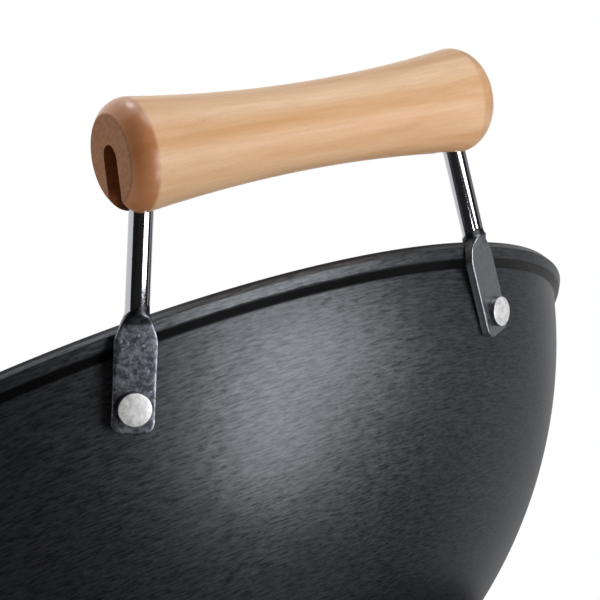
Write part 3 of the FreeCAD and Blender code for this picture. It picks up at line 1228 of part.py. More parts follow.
def wiring_lamp():
    """Two thin leads from the lamp: one to the thermostat's output, one to the neutral blade."""
    lamp_back = POD_FACE + LAMP_LENGTH + POD_FACE_WALL
    near_x, far_x = span(-LAMP_OFFSET, -2 * LAMP_LEAD_RADIUS * 2)
    tab_y = TAB_END - TAB_LENGTH / 2
    pin_y, pin_z = INLET_BACK - TAB_LENGTH / 2, INLET_MIDDLE + PIN_RISE
    near = bent_rod([
        V(near_x, lamp_back, POD_MIDDLE), V(near_x, tab_y, POD_MIDDLE),
        V(-THERMOSTAT_TAB - TAB_THICKNESS / 2, tab_y, POD_MIDDLE),
    ], LAMP_LEAD_RADIUS, LEAD_BEND / 2)
    far = bent_rod([
        V(far_x, lamp_back, POD_MIDDLE), V(far_x, lamp_back + LEAD_RISE, POD_MIDDLE),
        V(far_x, -LEAD_REACH, LEAD_LEVEL), V(far_x, LEAD_REACH, LEAD_LEVEL),
        V(far_x / 2, pin_y, pin_z), V(-PIN_SPREAD - TAB_THICKNESS / 2, pin_y, pin_z),
    ], LAMP_LEAD_RADIUS, LEAD_BEND / 2)
    return group([near, far])


# ---- assembly ------------------------------------------------------------------------------------
def nodes():
    rod, grip, rivets = handle_rod(), handle_grip(), handle_rivets()
    made = {
        "wok_pan": wok_pan(),
        "handle_rod_right": rod, "handle_rod_left": mirrored(rod, X_AXIS),
        "handle_grip_right": grip, "handle_grip_left": mirrored(grip, X_AXIS),
        "handle_rivets_right": rivets, "handle_rivets_left": mirrored(rivets, X_AXIS),
    }
    builders = [
        base_housing, bottom_cover, rubber_feet, foot_screws, support_tray, tray_screws, trim_ring,
        heating_plate, heating_element, element_bushes, element_terminals, element_clips, clip_screws,
        bulb_clip, plate_spacers, plate_screws, sensor_cup, sensor_disc, sensor_guide, sensor_stop,
        sensor_spring, control_panel, dial_marks, temperature_knob, knob_pointer, thermostat_shaft,
        thermostat_body, thermostat_screws, thermostat_bulb, pilot_lamp_lens, pilot_lamp_holder,
        inlet_socket, inlet_pins, inlet_screws, inlet_nuts, wiring_live, thermal_fuse, wiring_neutral,
        earth_tag, earth_screw, wiring_earth, wiring_lamp,
    ]
    made.update((build.__name__, build()) for build in builders)
    return made


os.makedirs("parts", exist_ok=True)
for name, shape in nodes().items():
    shape.exportStep("parts/" + name + ".step")
    print(name, len(shape.Solids), round(shape.Volume, 1), shape.isValid())
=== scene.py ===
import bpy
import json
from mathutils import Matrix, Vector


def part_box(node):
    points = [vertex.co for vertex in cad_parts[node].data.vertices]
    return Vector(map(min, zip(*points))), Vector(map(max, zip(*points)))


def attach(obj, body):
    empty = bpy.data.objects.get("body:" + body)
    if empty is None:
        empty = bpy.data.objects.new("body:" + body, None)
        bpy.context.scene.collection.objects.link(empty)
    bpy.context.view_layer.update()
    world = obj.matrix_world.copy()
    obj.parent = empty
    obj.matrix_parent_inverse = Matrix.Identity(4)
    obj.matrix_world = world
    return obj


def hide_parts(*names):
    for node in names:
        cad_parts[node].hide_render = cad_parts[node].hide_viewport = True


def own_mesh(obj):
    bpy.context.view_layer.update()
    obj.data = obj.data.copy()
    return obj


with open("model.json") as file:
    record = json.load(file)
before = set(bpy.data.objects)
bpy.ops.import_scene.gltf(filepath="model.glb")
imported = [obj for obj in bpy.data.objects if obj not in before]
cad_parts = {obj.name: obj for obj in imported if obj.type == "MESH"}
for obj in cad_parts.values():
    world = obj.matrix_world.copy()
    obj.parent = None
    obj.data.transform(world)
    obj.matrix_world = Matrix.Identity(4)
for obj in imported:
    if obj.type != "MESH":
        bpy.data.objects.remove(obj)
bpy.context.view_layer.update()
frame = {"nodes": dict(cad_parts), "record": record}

import json
import math
import types

import bmesh
import bpy
from mathutils import Matrix, Vector

bl_info = {
    "name": "Electric wok",
    "version": (1, 0, 0),
    "blender": (4, 5, 0),
    "location": "View3D > Sidebar > Wok",
    "description": "Pan with loop handles, heating base and controls of an electric wok",
    "category": "Add Mesh",
}

MM = 0.001                    # scene units in a millimetre
UP = Vector((0, 0, 1))
AHEAD = Vector((0, 1, 0))     # along a grip, out through its +Y end
EDGE_ROUND = 0.3              # eased edges of the moulded and sheet parts, in millimetres
CIRCLE = 2                    # power of a superellipse that is a circle
PAN_WALL = 2.5                # sheet of the pan, which the rivets go through, in millimetres

# Mix node set to colours. Its inputs are given by place, as their names are also those of numbers.
FACTOR, FIRST, SECOND = 0, 6, 7
OF_COLOURS = {"data_type": "RGBA", "out": 2}


# ---- settings --------------------------------------------------------------------------------
def place_of(name, description, millimetres):
    """Point that is typed in millimetres here and shown in the scene's unit."""
    return bpy.props.FloatVectorProperty(name=name, description=description, unit="LENGTH", precision=5,
                                         default=[v * MM for v in millimetres])


def number(name, description, value, **more):
    """Plain number, with its unit or limits where it has them."""
    return bpy.props.FloatProperty(name=name, description=description, default=value, **more)


def length(name, description, millimetres):
    """Length that is typed in millimetres here and shown in the scene's unit."""
    return number(name, description, millimetres * MM, unit="LENGTH", precision=5)


def angle(name, description, degrees):
    """Angle that is typed in degrees here."""
    return number(name, description, math.radians(degrees), subtype="ANGLE")


def way(name, description, vector):
    """Way in which something points."""
    return bpy.props.FloatVectorProperty(name=name, description=description, subtype="DIRECTION",
                                         default=vector)


def linear(code):
    """Linear RGB from an sRGB hex code."""
    parts = [int(code[i:i + 2], 16) / 255 for i in (0, 2, 4)]
    return [p / 12.92 if p <= 0.04045 else ((p + 0.055) / 1.055) ** 2.4 for p in parts]


def shade_of(name, description, code):
    """Colour that is typed as an sRGB hex code here."""
    return bpy.props.FloatVectorProperty(name=name, description=description, subtype="COLOR",
                                         min=0, max=1, default=linear(code))


def in_millimetres(settings):
    """Copy of a group of settings with its lengths in millimetres."""
    values = {}
    for prop in settings.bl_rna.properties:
        if prop.identifier in ("rna_type", "name"):
            continue
        value = getattr(settings, prop.identifier)
        in_mm = 1 / MM if prop.unit == "LENGTH" else 1
        values[prop.identifier] = value * in_mm if prop.array_length == 0 else [v * in_mm for v in value]
    return types.SimpleNamespace(**values)


class WokPanSettings(bpy.types.PropertyGroup):
    """Sizes and colours of the pan."""
    rim_height: length("Rim height", "Rim plane above the table", 203.0436)
    rim_radius: length("Rim radius", "Outside of the lip", 180.0)
    band_top: length("Band top", "Lip's widest point, below the rim plane", 2.8)
    band_foot: length("Band foot", "Lower edge of the lip's band, below the rim plane", 5.3)
    band_taper: length("Band taper", "How far the band's foot is in from its widest point", 1.7)
    crown_inset: length("Crown inset", "How far the rim's flat top is in from the outside", 1.7)
    root_radius: length("Root radius", "Wall's radius under the lip", 175.3)
    root_depth: length("Root depth", "Where lip and wall meet, below the rim plane", 7.4)
    sphere: length("Bowl sphere", "Radius of the bowl's outside", 185.29)
    sphere_rise: length("Sphere rise", "Centre of the bowl's sphere above the rim plane", 52.6186)
    wall: length("Wall", "Thickness of the wall", PAN_WALL)
    floor: length("Floor", "Thickness of the floor", 3.5)
    depth: length("Depth", "Rim plane down to the underside", 122.6878)
    flat: length("Flat", "Radius of the flat underside", 60.0)
    dark: shade_of("Dark hairs", "Darker colour of the brushed steel", "3B3C40")
    light: shade_of("Light hairs", "Lighter colour of the brushed steel", "6B6E72")


class WokHandleSettings(bpy.types.PropertyGroup):
    """Sizes and colours of a handle; places are those of the +Y leg of the +X handle."""
    rivet: place_of("Rivet", "Middle of the paddle at the rivet", (159.2077, 65.25, 180.9273))
    grip: place_of("Leg's top", "Leg's centre line on the grip's axis", (196.6039, 52.27, 239.4936))
    out: way("Paddle faces", "Way out of the paddle's face", (0.828907, 0.320962, -0.458146))
    rod_radius: length("Rod radius", "Radius of the round rod", 3.5)
    bend: length("Bend radius", "Centre-line radius of the bends inside the grip", 7.5)
    paddle_width: length("Paddle width", "Width of the flattened end", 12.2)
    paddle_thickness: length("Paddle thickness", "Thickness of the flattened end", 2.9)
    paddle_low: length("Paddle below rivet", "Rivet down to the paddle's tip", 7.4)
    paddle_wide: length("Paddle's full width", "Up to this far above the rivet", 19.0)
    paddle_flat: length("Paddle's full flatness", "Up to this far above the rivet", 24.2)
    shoulder: length("Shoulder", "The rod is round from this far above the rivet", 26.8)
    lift: length("Paddle to wall", "Gap under the rivet", 0.85)
    head_radius: length("Rivet head radius", "Radius of the outer head", 4.8)
    head_height: length("Rivet head height", "Thickness of the outer head", 3.0)
    half_length: length("Grip half length", "Grip's middle to its end", 62.5)
    waist: length("Grip waist", "Radius at the middle of the grip", 12.75)
    end: length("Grip end", "Largest radius near the ends", 16.15)
    end_round: length("Grip end rounding", "Radius of the round-over at each end", 7.8)
    end_run: length("Grip rounding length", "How far the round-over reaches along the grip", 7.0)
    bore: length("Bore", "Radius of the bore and half the slots' width", 3.9)
    wood_light: shade_of("Light wood", "Colour of the early wood", "E2BB93")
    wood_dark: shade_of("Dark wood", "Colour of the late wood", "D3A374")
    plating: shade_of("Plating", "Colour of the plated rod", "B6B8BD")


class WokBaseSettings(bpy.types.PropertyGroup):
    """Sizes and colours of the heating base."""
    face: length("Control face", "Y of the control pod's face", -138.0)
    middle: length("Knob height", "Knob's axis above the table", 44.0)
    travel: angle("Knob travel", "Angle between the dial's ends", 270.0)
    number_circle: length("Number circle", "Numbers' middle from the knob's axis", 24.4)
    number_height: length("Number height", "Height of the printed numbers", 3.0)
    spring_radius: length("Spring radius", "Centre line of the sensor spring's coils", 8.5)
    spring_wire: length("Spring wire", "Radius of the sensor spring's wire", 0.6)
    spring_turns: bpy.props.IntProperty(name="Spring turns", description="Coils of the sensor spring",
                                        default=6, min=1)
    sensor_travel: length("Sensor travel", "How far the pan sensor goes down", 3.0)
    housing: shade_of("Housing", "Colour of the moulded housing", "222223")
    knob: shade_of("Knob", "Colour of the knob", "18181A")
    lamp: shade_of("Lamp", "Colour of the pilot lamp's lens", "C4281A")


class WokStageSettings(bpy.types.PropertyGroup):
    """Camera and light."""
    camera: place_of("Camera", "Where the camera stands", (533.26, -237.88, 78.92))
    right: way("Camera's right", "Way to the right in its view", (0.4051, 0.8320, -0.3791))
    up: way("Camera's up", "Way up in its view", (0.4153, 0.2020, 0.8870))
    lens: number("Lens", "Focal length on a 36 mm sensor", 90.38, unit="CAMERA")
    fill: number("Fill", "Light from all round on matt surfaces", 0.22, min=0)
    floor_glow: number("Floor glow", "Light of the floor's own, for the eye", 0.78, min=0)
    mirror_glow: number("Mirror glow", "Light of the floor's own, in mirrors", 0.3, min=0)
    card_from: angle("Cards from", "Compass start of the black card", -86.0)
    card_split: angle("Grey from", "Where the card turns from black to grey", 60.0)
    card_to: angle("Cards to", "Compass end of the grey card", 104.0)


# ---- mesh helpers ----------------------------------------------------------------------------
def add_object(name, data):
    """Puts a new object into the scene."""
    obj = bpy.data.objects.new(name, data)
    bpy.context.scene.collection.objects.link(obj)
    return obj


def add_mesh(name, verts, faces, smooth=True):
    """Object from points and faces, with its faces turned outwards."""
    mesh = bpy.data.meshes.new(name)
    mesh.from_pydata([tuple(v) for v in verts], [], faces)
    mesh.validate()
    obj = add_object(name, mesh)
    work = bmesh.new()
    work.from_mesh(mesh)
    bmesh.ops.recalc_face_normals(work, faces=work.faces)
    work.to_mesh(mesh)
    work.free()
    for face in mesh.polygons:
        face.use_smooth = smooth
    return obj


def evaluated_mesh(obj):
    """New mesh of an object as its modifiers or its text leave it."""
    graph = bpy.context.evaluated_depsgraph_get()
    return bpy.data.meshes.new_from_object(obj.evaluated_get(graph))


def rounded(points, steps=6):
    """Polyline through (a, b) or (a, b, radius) points with arcs at the radii."""
    path = []
    for i, point in enumerate(points):
        here = Vector(point[:2])
        radius = point[2] if len(point) > 2 else 0
        if not radius or i in (0, len(points) - 1):
            path.append(here)
            continue
        back = (Vector(points[i - 1][:2]) - here).normalized()
        ahead = (Vector(points[i + 1][:2]) - here).normalized()
        half = back.angle(ahead) / 2
        cut = radius / math.tan(half)
        centre = here + (back + ahead).normalized() * (radius / math.sin(half))
        first = here + back * cut - centre
        turn = (math.pi - 2 * half) * (1 if back.x * ahead.y - back.y * ahead.x < 0 else -1)
        for k in range(steps + 1):
            a = turn * k / steps
            path.append(centre + Vector((first.x * math.cos(a) - first.y * math.sin(a),
                                         first.x * math.sin(a) + first.y * math.cos(a))))
    return path


def arc_points(centre_b, radius, b_from, b_to, steps):
    """Points of a circle about (0, centre_b) between two heights, on its right-hand side."""
    start = math.asin((b_from - centre_b) / radius)
    stop = math.asin((b_to - centre_b) / radius)
    angles = [start + (stop - start) * k / steps for k in range(steps + 1)]
    return [(radius * math.cos(a), centre_b + radius * math.sin(a)) for a in angles]


def lathe(name, profile, segments):
    """Surface of revolution about Z from (radius, height) points."""
    on_axis = 1e-9
    verts, rings = [], []
    for radius, height in profile:
        if radius < on_axis:
            rings.append([len(verts)] * segments)
            verts.append((0, 0, height))
            continue
        first = len(verts)
        rings.append([first + k for k in range(segments)])
        for k in range(segments):
            a = 2 * math.pi * k / segments
            verts.append((radius * math.cos(a), radius * math.sin(a), height))
    faces = []
    for low, high in zip(rings, rings[1:]):
        for k in range(segments):
            n = (k + 1) % segments
            corners = [low[k], low[n], high[n], high[k]]
            faces.append([c for i, c in enumerate(corners) if c not in corners[:i]])
    return add_mesh(name, verts, faces)


def loft(name, sections):
    """Skin over closed sections with the same number of points, capped at both ends."""
    count = len(sections[0])
    verts = [v for section in sections for v in section]
    faces = [list(range(count)), [len(verts) - count + k for k in range(count)]]
    for i in range(len(sections) - 1):
        for k in range(count):
            n = (k + 1) % count
            low, high = i * count, (i + 1) * count
            faces.append([low + k, low + n, high + n, high + k])
    return add_mesh(name, verts, faces)


def ring_points(centre, across, out, half_width, half_thick, power, count=48):
    """Superellipse of points about a centre."""
    points = []
    for k in range(count):
        a = 2 * math.pi * k / count
        c, s = math.cos(a), math.sin(a)
        x = math.copysign(abs(c) ** (2 / power), c) * half_width
        y = math.copysign(abs(s) ** (2 / power), s) * half_thick
        points.append((centre + across * x + out * y) * MM)
    return points


def smooth_step(x, start, stop):
    """0 before the start, 1 after the stop, and an S-shaped rise between them."""
    t = min(max((x - start) / (stop - start), 0), 1)
    return t * t * (3 - 2 * t)


def place(obj, origin, x, y, z):
    """Moves the mesh to a frame given by three axes and an origin."""
    axes = Matrix((x, y, z)).transposed().to_4x4()
    obj.data.transform(Matrix.Translation(origin) @ axes)
    if axes.determinant() < 0:
        obj.data.flip_normals()
    return obj


def opposite(obj, name):
    """Copy on the other side of the pan."""
    twin = add_object(name, obj.data.copy())
    twin.data.transform(Matrix.Rotation(math.pi, 4, "Z"))
    return twin


def finish_all(obj, material):
    """Makes one material the object's only one."""
    obj.data.materials.clear()
    obj.data.materials.append(material)


def finish_two(obj, first, second, is_second):
    """Gives the faces that pass a test the second of two materials."""
    finish_all(obj, first)
    obj.data.materials.append(second)
    for face in obj.data.polygons:
        face.material_index = int(is_second(face))


def piece(obj, body, slot, *nodes):
    """Ties a modelled piece to its CAD body and hides the nodes that it replaces. The slot is not used.
    """
    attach(obj, body)
    if nodes:
        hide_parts(*nodes)


# ---- material helpers ------------------------------------------------------------------------
def colour(code):
    """Linear RGBA from an sRGB hex code."""
    return (*linear(code), 1.0)


def around_shade(rgb, spread=0.25):
    """A darker and a lighter RGBA of one colour."""
    return [(*[c * (1 + side * spread) for c in rgb], 1.0) for side in (-1, 1)]


class Nodes:
    """Node tree of a material or of the world, with one way to add a node to it."""

    def __init__(self, owner, shader="Principled BSDF"):
        owner.use_nodes = True
        self.owner = owner
        self.tree = owner.node_tree
        self.shader = self.tree.nodes[shader]

    def connect(self, node, inputs):
        """Sets or links inputs, which come in the node's own order or under their names or places."""
        pairs = inputs.items() if isinstance(inputs, dict) else enumerate(inputs)
        for key, value in pairs:
            if isinstance(value, bpy.types.NodeSocket):
                self.tree.links.new(value, node.inputs[key])
            else:
                node.inputs[key].default_value = value

    def add(self, kind, inputs=(), out=0, **settings):
        """Adds a node with its settings and links, and gives back one of its outputs."""
        node = self.tree.nodes.new("ShaderNode" + kind)
        for key, value in settings.items():
            setattr(node, key, value)
        self.connect(node, inputs)
        return node.outputs[out]

    def finish(self, inputs):
        """Sets the shader's inputs and gives back the material."""
        self.connect(self.shader, inputs)
        return self.owner

    def over(self, *size):
        """Object coordinates over a grain's size in millimetres, one for all ways or one for each."""
        at = self.add("TexCoord", out="Object")
        scale = [1 / (MM * s) for s in (size if len(size) == 3 else size * 3)]
        return self.add("Mapping", {"Vector": at, "Scale": scale})

    def around(self, along, across, radius):
        """Coordinates round the Z axis over a grain's length and height, in millimetres."""
        at = self.add("TexCoord", out="Object")
        x, y, z = self.add("SeparateXYZ", {"Vector": at}).node.outputs
        angle = self.add("Math", (y, x), operation="ARCTAN2")
        run = self.add("Math", (angle, radius / along), operation="MULTIPLY")
        rise = self.add("Math", (z, 1 / (MM * across)), operation="MULTIPLY")
        level = self.add("CombineXYZ", (x, y))
        reach = self.add("VectorMath", {0: level}, "Value", operation="LENGTH")
        out = self.add("Math", (reach, 1 / (MM * across)), operation="MULTIPLY")
        return self.add("CombineXYZ", (run, rise, out))


def new_material(name):
    """Empty material with the usual shader."""
    return Nodes(bpy.data.materials.new(name))


# ---- materials -------------------------------------------------------------------------------
def blackened_steel(s):
    """Carbon steel, spun, hairline-brushed round and blackened.

    The eye sees a dark satin with fine level streaks. The lip's crown and the corner under the lip
    get painted shade, so both are nearly black.
    """
    m = new_material("Blackened brushed carbon steel")
    # Real hairlines are about 0.1 mm high. They are drawn 0.6 to 0.7 mm high, so that they show.
    # The blackening bath leaves clouds about 30 mm across.
    hairs, short, cloud = [
        m.add("TexNoise", {"Vector": at, "Scale": 1, "Detail": detail, "Roughness": rough})
        for at, detail, rough in (
            (m.around(5.0, 0.7, s.rim_radius), 4, 0.6),
            (m.around(2.4, 0.6, s.rim_radius), 2, 0.6),
            (m.over(30), 3, 0.55),
        )
    ]
    mark = m.add("Mix", {"Factor": 0.4, "A": hairs, "B": short})
    shade = m.add("MapRange", (mark, 0.38, 0.62))
    scratch = m.add("MapRange", (short, 0.58, 0.66, 0.0, 0.35))
    stain = m.add("MapRange", (cloud, 0.3, 0.7, 0.0, 0.3))
    # Painted shade on the lip's crown and in the corner under the lip, by the depth below the rim.
    height = m.add("SeparateXYZ", {"Vector": m.over(1)}, "Z")
    depth = m.add("Math", (s.rim_height, height), operation="SUBTRACT")
    below_lip = m.add("MapRange", (depth, s.band_foot + 0.1, s.band_foot + 0.5))
    above_wall = m.add("MapRange", (depth, s.root_depth + 0.1, s.root_depth + 0.6, 1.0, 0.0))
    corner = m.add("Math", (below_lip, above_wall), operation="MULTIPLY")
    crown = m.add("MapRange", (depth, 1.0, 1.5, 0.8, 0.0))
    painted_lip_shade = m.add("Math", (corner, crown), operation="MAXIMUM")
    base = (*s.dark, 1)
    for amount, tint in (
        (shade, (*s.light, 1)),
        (scratch, colour("2A2B2D")),
        (stain, colour("4E5053")),
        # Painted shade, nearly black, on the lip's crown and under the lip.
        (painted_lip_shade, colour("1E1E20")),
    ):
        base = m.add("Mix", {FACTOR: amount, FIRST: base, SECOND: tint}, **OF_COLOURS)
    return m.finish({
        "Base Color": base,
        "Metallic": 0.9,
        "Roughness": m.add("MapRange", (mark, 0.3, 0.7, 0.39, 0.52)),
        "Normal": m.add("Bump", {"Height": mark, "Distance": 0.05 * MM, "Strength": 0.5}),
    })


def chromed_rod(h):
    """Steel rod, drawn, nickel and chrome plated: a clear mirror with a faint ripple along it."""
    m = new_material("Chrome plated steel rod")
    # The drawing die leaves waves of about the rod's own width. Wear marks are about 0.1 mm wide,
    # and they are drawn 0.6 mm wide, so that they show.
    ripple, wear = [
        m.add("TexNoise", {"Vector": m.over(size), "Scale": 1, "Detail": detail, "Roughness": 0.55})
        for size, detail in ((6.0, 2), (0.6, 3))
    ]
    return m.finish({
        "Base Color": (*h.plating, 1),
        "Metallic": 1.0,
        "Roughness": m.add("MapRange", (wear, 0.3, 0.7, 0.05, 0.12)),
        "Normal": m.add("Bump", {"Height": ripple, "Distance": 0.05 * MM, "Strength": 0.3}),
    })


def forged_end(neck_low, neck_high):
    """Rod end, forged flat and plated: grey, with bright specks and a painted dark reflection on the
    neck.

    The ends are hammered and mottled. Towards the +Y end the colour is painted paler, a painted
    reflection, which hides much of the mottling there.
    """
    m = new_material("Forged and plated rod end")
    # Hammer dents about 2 mm wide, and forging scale of just under a millimetre.
    dents, scale = [
        m.add("TexNoise", {"Vector": m.over(*size), "Scale": 1, "Detail": 3, "Roughness": 0.6})
        for size in ((2.2, 2.2, 1.8), (0.8, 1.0, 0.7))
    ]
    side, height = m.add("SeparateXYZ", {"Vector": m.over(1)}).node.outputs[1:]
    mottle = m.add("MapRange", (dents, 0.4, 0.62))
    # Painted reflection: the colour turns paler towards the +Y end.
    painted_pale_side = m.add("MapRange", (side, -20.0, 20.0, 0.0, 0.8))
    specks = m.add("MapRange", (scale, 0.63, 0.70))
    # Painted dark reflection on the neck.
    painted_dark_neck = m.add("MapRange", (height, neck_low, neck_high))
    base = colour("60646D")
    for amount, code in ((mottle, "999DA6"), (painted_pale_side, "B0B5B8"), (specks, "C4C7CC"), (painted_dark_neck, "3A3B3F")):
        base = m.add("Mix", {FACTOR: amount, FIRST: base, SECOND: colour(code)}, **OF_COLOURS)
    pitted = m.add("Bump", {"Height": scale, "Distance": 0.03 * MM, "Strength": 0.7})
    relief = {"Height": dents, "Distance": 0.25 * MM, "Strength": 0.5, "Normal": pitted}
    return m.finish({
        "Base Color": base,
        "Metallic": 1.0,
        "Roughness": m.add("MapRange", (scale, 0.3, 0.7, 0.33, 0.45)),
        "Normal": m.add("Bump", relief),
    })


def turned_beech(h):
    """Beech, steamed, turned, sanded and satin varnished.

    The eye sees pale tan wood with long grain and a soft gloss. The round-over gets painted shade,
    most at the -Y end, and the end grain drinks the varnish, so it is brown and dull.
    """
    m = new_material("Turned beech, satin varnish")
    rings, grain, fleck, pores = [
        m.add("TexNoise", {"Vector": m.over(*size), "Scale": 1, "Detail": detail, "Roughness": rough,
                           "Distortion": waver})
        for size, detail, rough, waver in (
            # Year rings, 5 to 9 mm apart.
            ((9.0, 90.0, 5.0), 3, 0.5, 0.6),
            # Grain lines, 0.7 mm wide and 16 mm long.
            ((0.7, 16.0, 0.7), 4, 0.6, 0.0),
            # Beech's short brown flecks, 0.2 mm wide and 1.8 mm long.
            ((0.22, 1.8, 0.22), 2, 0.5, 0.0),
            # Pores of the end grain. Real ones are 0.05 mm wide, and these are drawn to show.
            ((0.9, 0.9, 0.9), 3, 0.7, 0.0),
        )
    ]
    crest = h.half_length - h.end_run
    along = m.add("SeparateXYZ", {"Vector": m.over(1)}, "Y")
    reach = m.add("Math", {0: along}, operation="ABSOLUTE")
    round_over = m.add("MapRange", (reach, crest - 0.2, crest + 0.8))
    face = m.add("MapRange", (reach, h.half_length - 0.5, h.half_length - 0.2))
    # Painted shade on the round-over, strong at the -Y end and light at the +Y end.
    painted_end_shade = m.add("MapRange", (along, -h.half_length, h.half_length, 0.8, 0.2))
    darker = m.add("Math", (round_over, painted_end_shade), operation="MULTIPLY")
    year = m.add("MapRange", (rings, 0.35, 0.65))
    lines = m.add("MapRange", (grain, 0.4, 0.7, 0.0, 0.35))
    rays = m.add("MapRange", (fleck, 0.64, 0.72, 0.0, 0.35))
    open_pores = m.add("MapRange", (pores, 0.3, 0.7))
    drunk, dry = colour("8F634A"), colour("AC8264")
    end_grain = m.add("Mix", {FACTOR: open_pores, FIRST: drunk, SECOND: dry}, **OF_COLOURS)
    base = (*h.wood_dark, 1)
    for amount, tint, mode in (
        (year, (*h.wood_light, 1), "MIX"),
        (lines, colour("C69970"), "MIX"),
        (rays, colour("A97B54"), "MIX"),
        # Painted shade on the round-over.
        (darker, colour("CC9460"), "MULTIPLY"),
        (face, end_grain, "MIX"),
    ):
        base = m.add("Mix", {FACTOR: amount, FIRST: base, SECOND: tint}, blend_type=mode, **OF_COLOURS)
    sanded = m.add("MapRange", (grain, 0.3, 0.7, 0.36, 0.5))
    varnish = m.add("MapRange", (round_over, 0.0, 1.0, 0.3, 0.9))
    return m.finish({
        "Base Color": base,
        "IOR": 1.46,
        "Roughness": m.add("MapRange", (face, 0.0, 1.0, sanded, 0.8)),
        "Specular IOR Level": m.add("MapRange", (face, 0.0, 1.0, 0.35, 0.15)),
        "Coat Weight": m.add("MapRange", (face, 0.0, 1.0, varnish, 0.0)),
        "Coat Roughness": 0.32,
        "Normal": m.add("Bump", {"Height": grain, "Distance": 0.03 * MM, "Strength": 0.5}),
    })


def bored_beech():
    """Beech, drilled and milled dry: dull and a little furry, without varnish. Its brown is painted
    shade in the bore and the slots.
    """
    m = new_material("Bored beech, unvarnished")
    # Torn fibres, 0.5 mm wide and 6 mm long.
    at = m.over(0.5, 6.0, 0.5)
    fibre = m.add("TexNoise", {"Vector": at, "Scale": 1, "Detail": 3, "Roughness": 0.6})
    shade = m.add("MapRange", (fibre, 0.3, 0.7))
    # Dark brown as painted shade in the bore and the slots.
    dark, light = colour("7C482A"), colour("935C39")
    return m.finish({
        "Base Color": m.add("Mix", {FACTOR: shade, FIRST: dark, SECOND: light}, **OF_COLOURS),
        "Roughness": 0.85,
        "Specular IOR Level": 0.1,
        "Normal": m.add("Bump", {"Height": fibre, "Distance": 0.05 * MM, "Strength": 0.6}),
    })


def tumbled_rivet():
    """Stainless rivet, cold headed and tumbled in ceramic stones: a whitish, cloudy satin."""
    m = new_material("Tumbled stainless rivet")
    # The stones' peening is about 0.05 mm wide, and it is drawn 0.25 mm wide, so that it shows.
    # Rubbed patches are 1.6 mm wide.
    peened, rubbed = [
        m.add("TexNoise", {"Vector": m.over(size), "Scale": 1, "Detail": 3, "Roughness": rough})
        for size, rough in ((0.25, 0.6), (1.6, 0.55))
    ]
    shade = m.add("MapRange", (rubbed, 0.4, 0.7))
    pale, grey = colour("F6F6F5"), colour("CFCFD0")
    return m.finish({
        "Base Color": m.add("Mix", {FACTOR: shade, FIRST: pale, SECOND: grey}, **OF_COLOURS),
        "Metallic": 0.45,
        "Roughness": m.add("MapRange", (peened, 0.3, 0.7, 0.4, 0.55)),
        "Normal": m.add("Bump", {"Height": peened, "Distance": 0.02 * MM, "Strength": 0.5}),
    })


def rivet_side():
    """Side of the rivet's head, darker than its face: painted shade."""
    return brushed("Stainless rivet's side", "6A6C70", "8E9094", 0.34, 0.4)


def moulded(name, low, high, rough, grain=0.35, depth=0.02):
    """Moulded plastic, rubber, ceramic or ink: an even skin with a fine grain.

    Spark erosion of the mould leaves grains of about 0.05 mm, and they are drawn wider to show.
    """
    m = new_material(name)
    at = m.over(grain)
    fine = m.add("TexNoise", {"Vector": at, "Scale": 1, "Detail": 3, "Roughness": 0.55})
    shade = m.add("MapRange", (fine, 0.3, 0.7))
    eased = m.add("Bevel", {"Radius": EDGE_ROUND * MM}, samples=4)
    relief = {"Height": fine, "Distance": depth * MM, "Strength": 0.6, "Normal": eased}
    return m.finish({
        "Base Color": m.add("Mix", {FACTOR: shade, FIRST: low, SECOND: high}, **OF_COLOURS),
        "Roughness": m.add("MapRange", (fine, 0.3, 0.7, rough - 0.06, rough + 0.06)),
        "Normal": m.add("Bump", relief),
    })


def brushed(name, low, high, rough, *grain, metallic=1.0):
    """Sheet, bar, wire or sleeve: light and dark marks of the grain's size.

    The marks of rolling, turning or braiding are finer than this, and they are drawn wider to show.
    """
    m = new_material(name)
    marks = m.add("TexNoise", {"Vector": m.over(*grain), "Scale": 1, "Detail": 4, "Roughness": 0.65})
    shade = m.add("MapRange", (marks, 0.3, 0.7))
    dark, light = colour(low), colour(high)
    eased = m.add("Bevel", {"Radius": EDGE_ROUND * MM}, samples=4)
    relief = {"Height": marks, "Distance": 0.015 * MM, "Strength": 0.5, "Normal": eased}
    return m.finish({
        "Base Color": m.add("Mix", {FACTOR: shade, FIRST: dark, SECOND: light}, **OF_COLOURS),
        "Metallic": metallic,
        "Roughness": m.add("MapRange", (marks, 0.3, 0.7, rough - 0.07, rough + 0.07)),
        "Normal": m.add("Bump", relief),
    })


def spun_ring():
    """Stainless sheet, spun and brushed round: bright, with fine rings."""
    m = new_material("Spun stainless steel")
    # Brush marks of 0.1 mm, drawn 0.25 mm wide and 14 mm long on the ring's radius of 98 mm.
    at = m.around(14.0, 0.25, 98.0)
    rings = m.add("TexNoise", {"Vector": at, "Scale": 1, "Detail": 4, "Roughness": 0.65})
    dark, light = colour("B4B4B3"), colour("D4D4D2")
    return m.finish({
        "Base Color": m.add("Mix", {FACTOR: rings, FIRST: dark, SECOND: light}, **OF_COLOURS),
        "Metallic": 1.0,
        "Roughness": m.add("MapRange", (rings, 0.3, 0.7, 0.22, 0.36)),
        "Normal": m.add("Bump", {"Height": rings, "Distance": 0.015 * MM, "Strength": 0.5}),
    })


def red_lens(b):
    """Red polycarbonate, moulded and polished: clear and glossy, with a faint unevenness."""
    m = new_material("Red polycarbonate lens")
    # Flow marks, 1 mm wide.
    flow = m.add("TexNoise", {"Vector": m.over(1), "Scale": 1, "Detail": 1, "Roughness": 0.55})
    return m.finish({
        "Base Color": (*b.lamp, 1),
        "Roughness": m.add("MapRange", (flow, 0.3, 0.7, 0.12, 0.2)),
        "Transmission Weight": 0.4,
        "IOR": 1.58,
        "Normal": m.add("Bump", {"Height": flow, "Distance": 0.02 * MM, "Strength": 0.4}),
    })


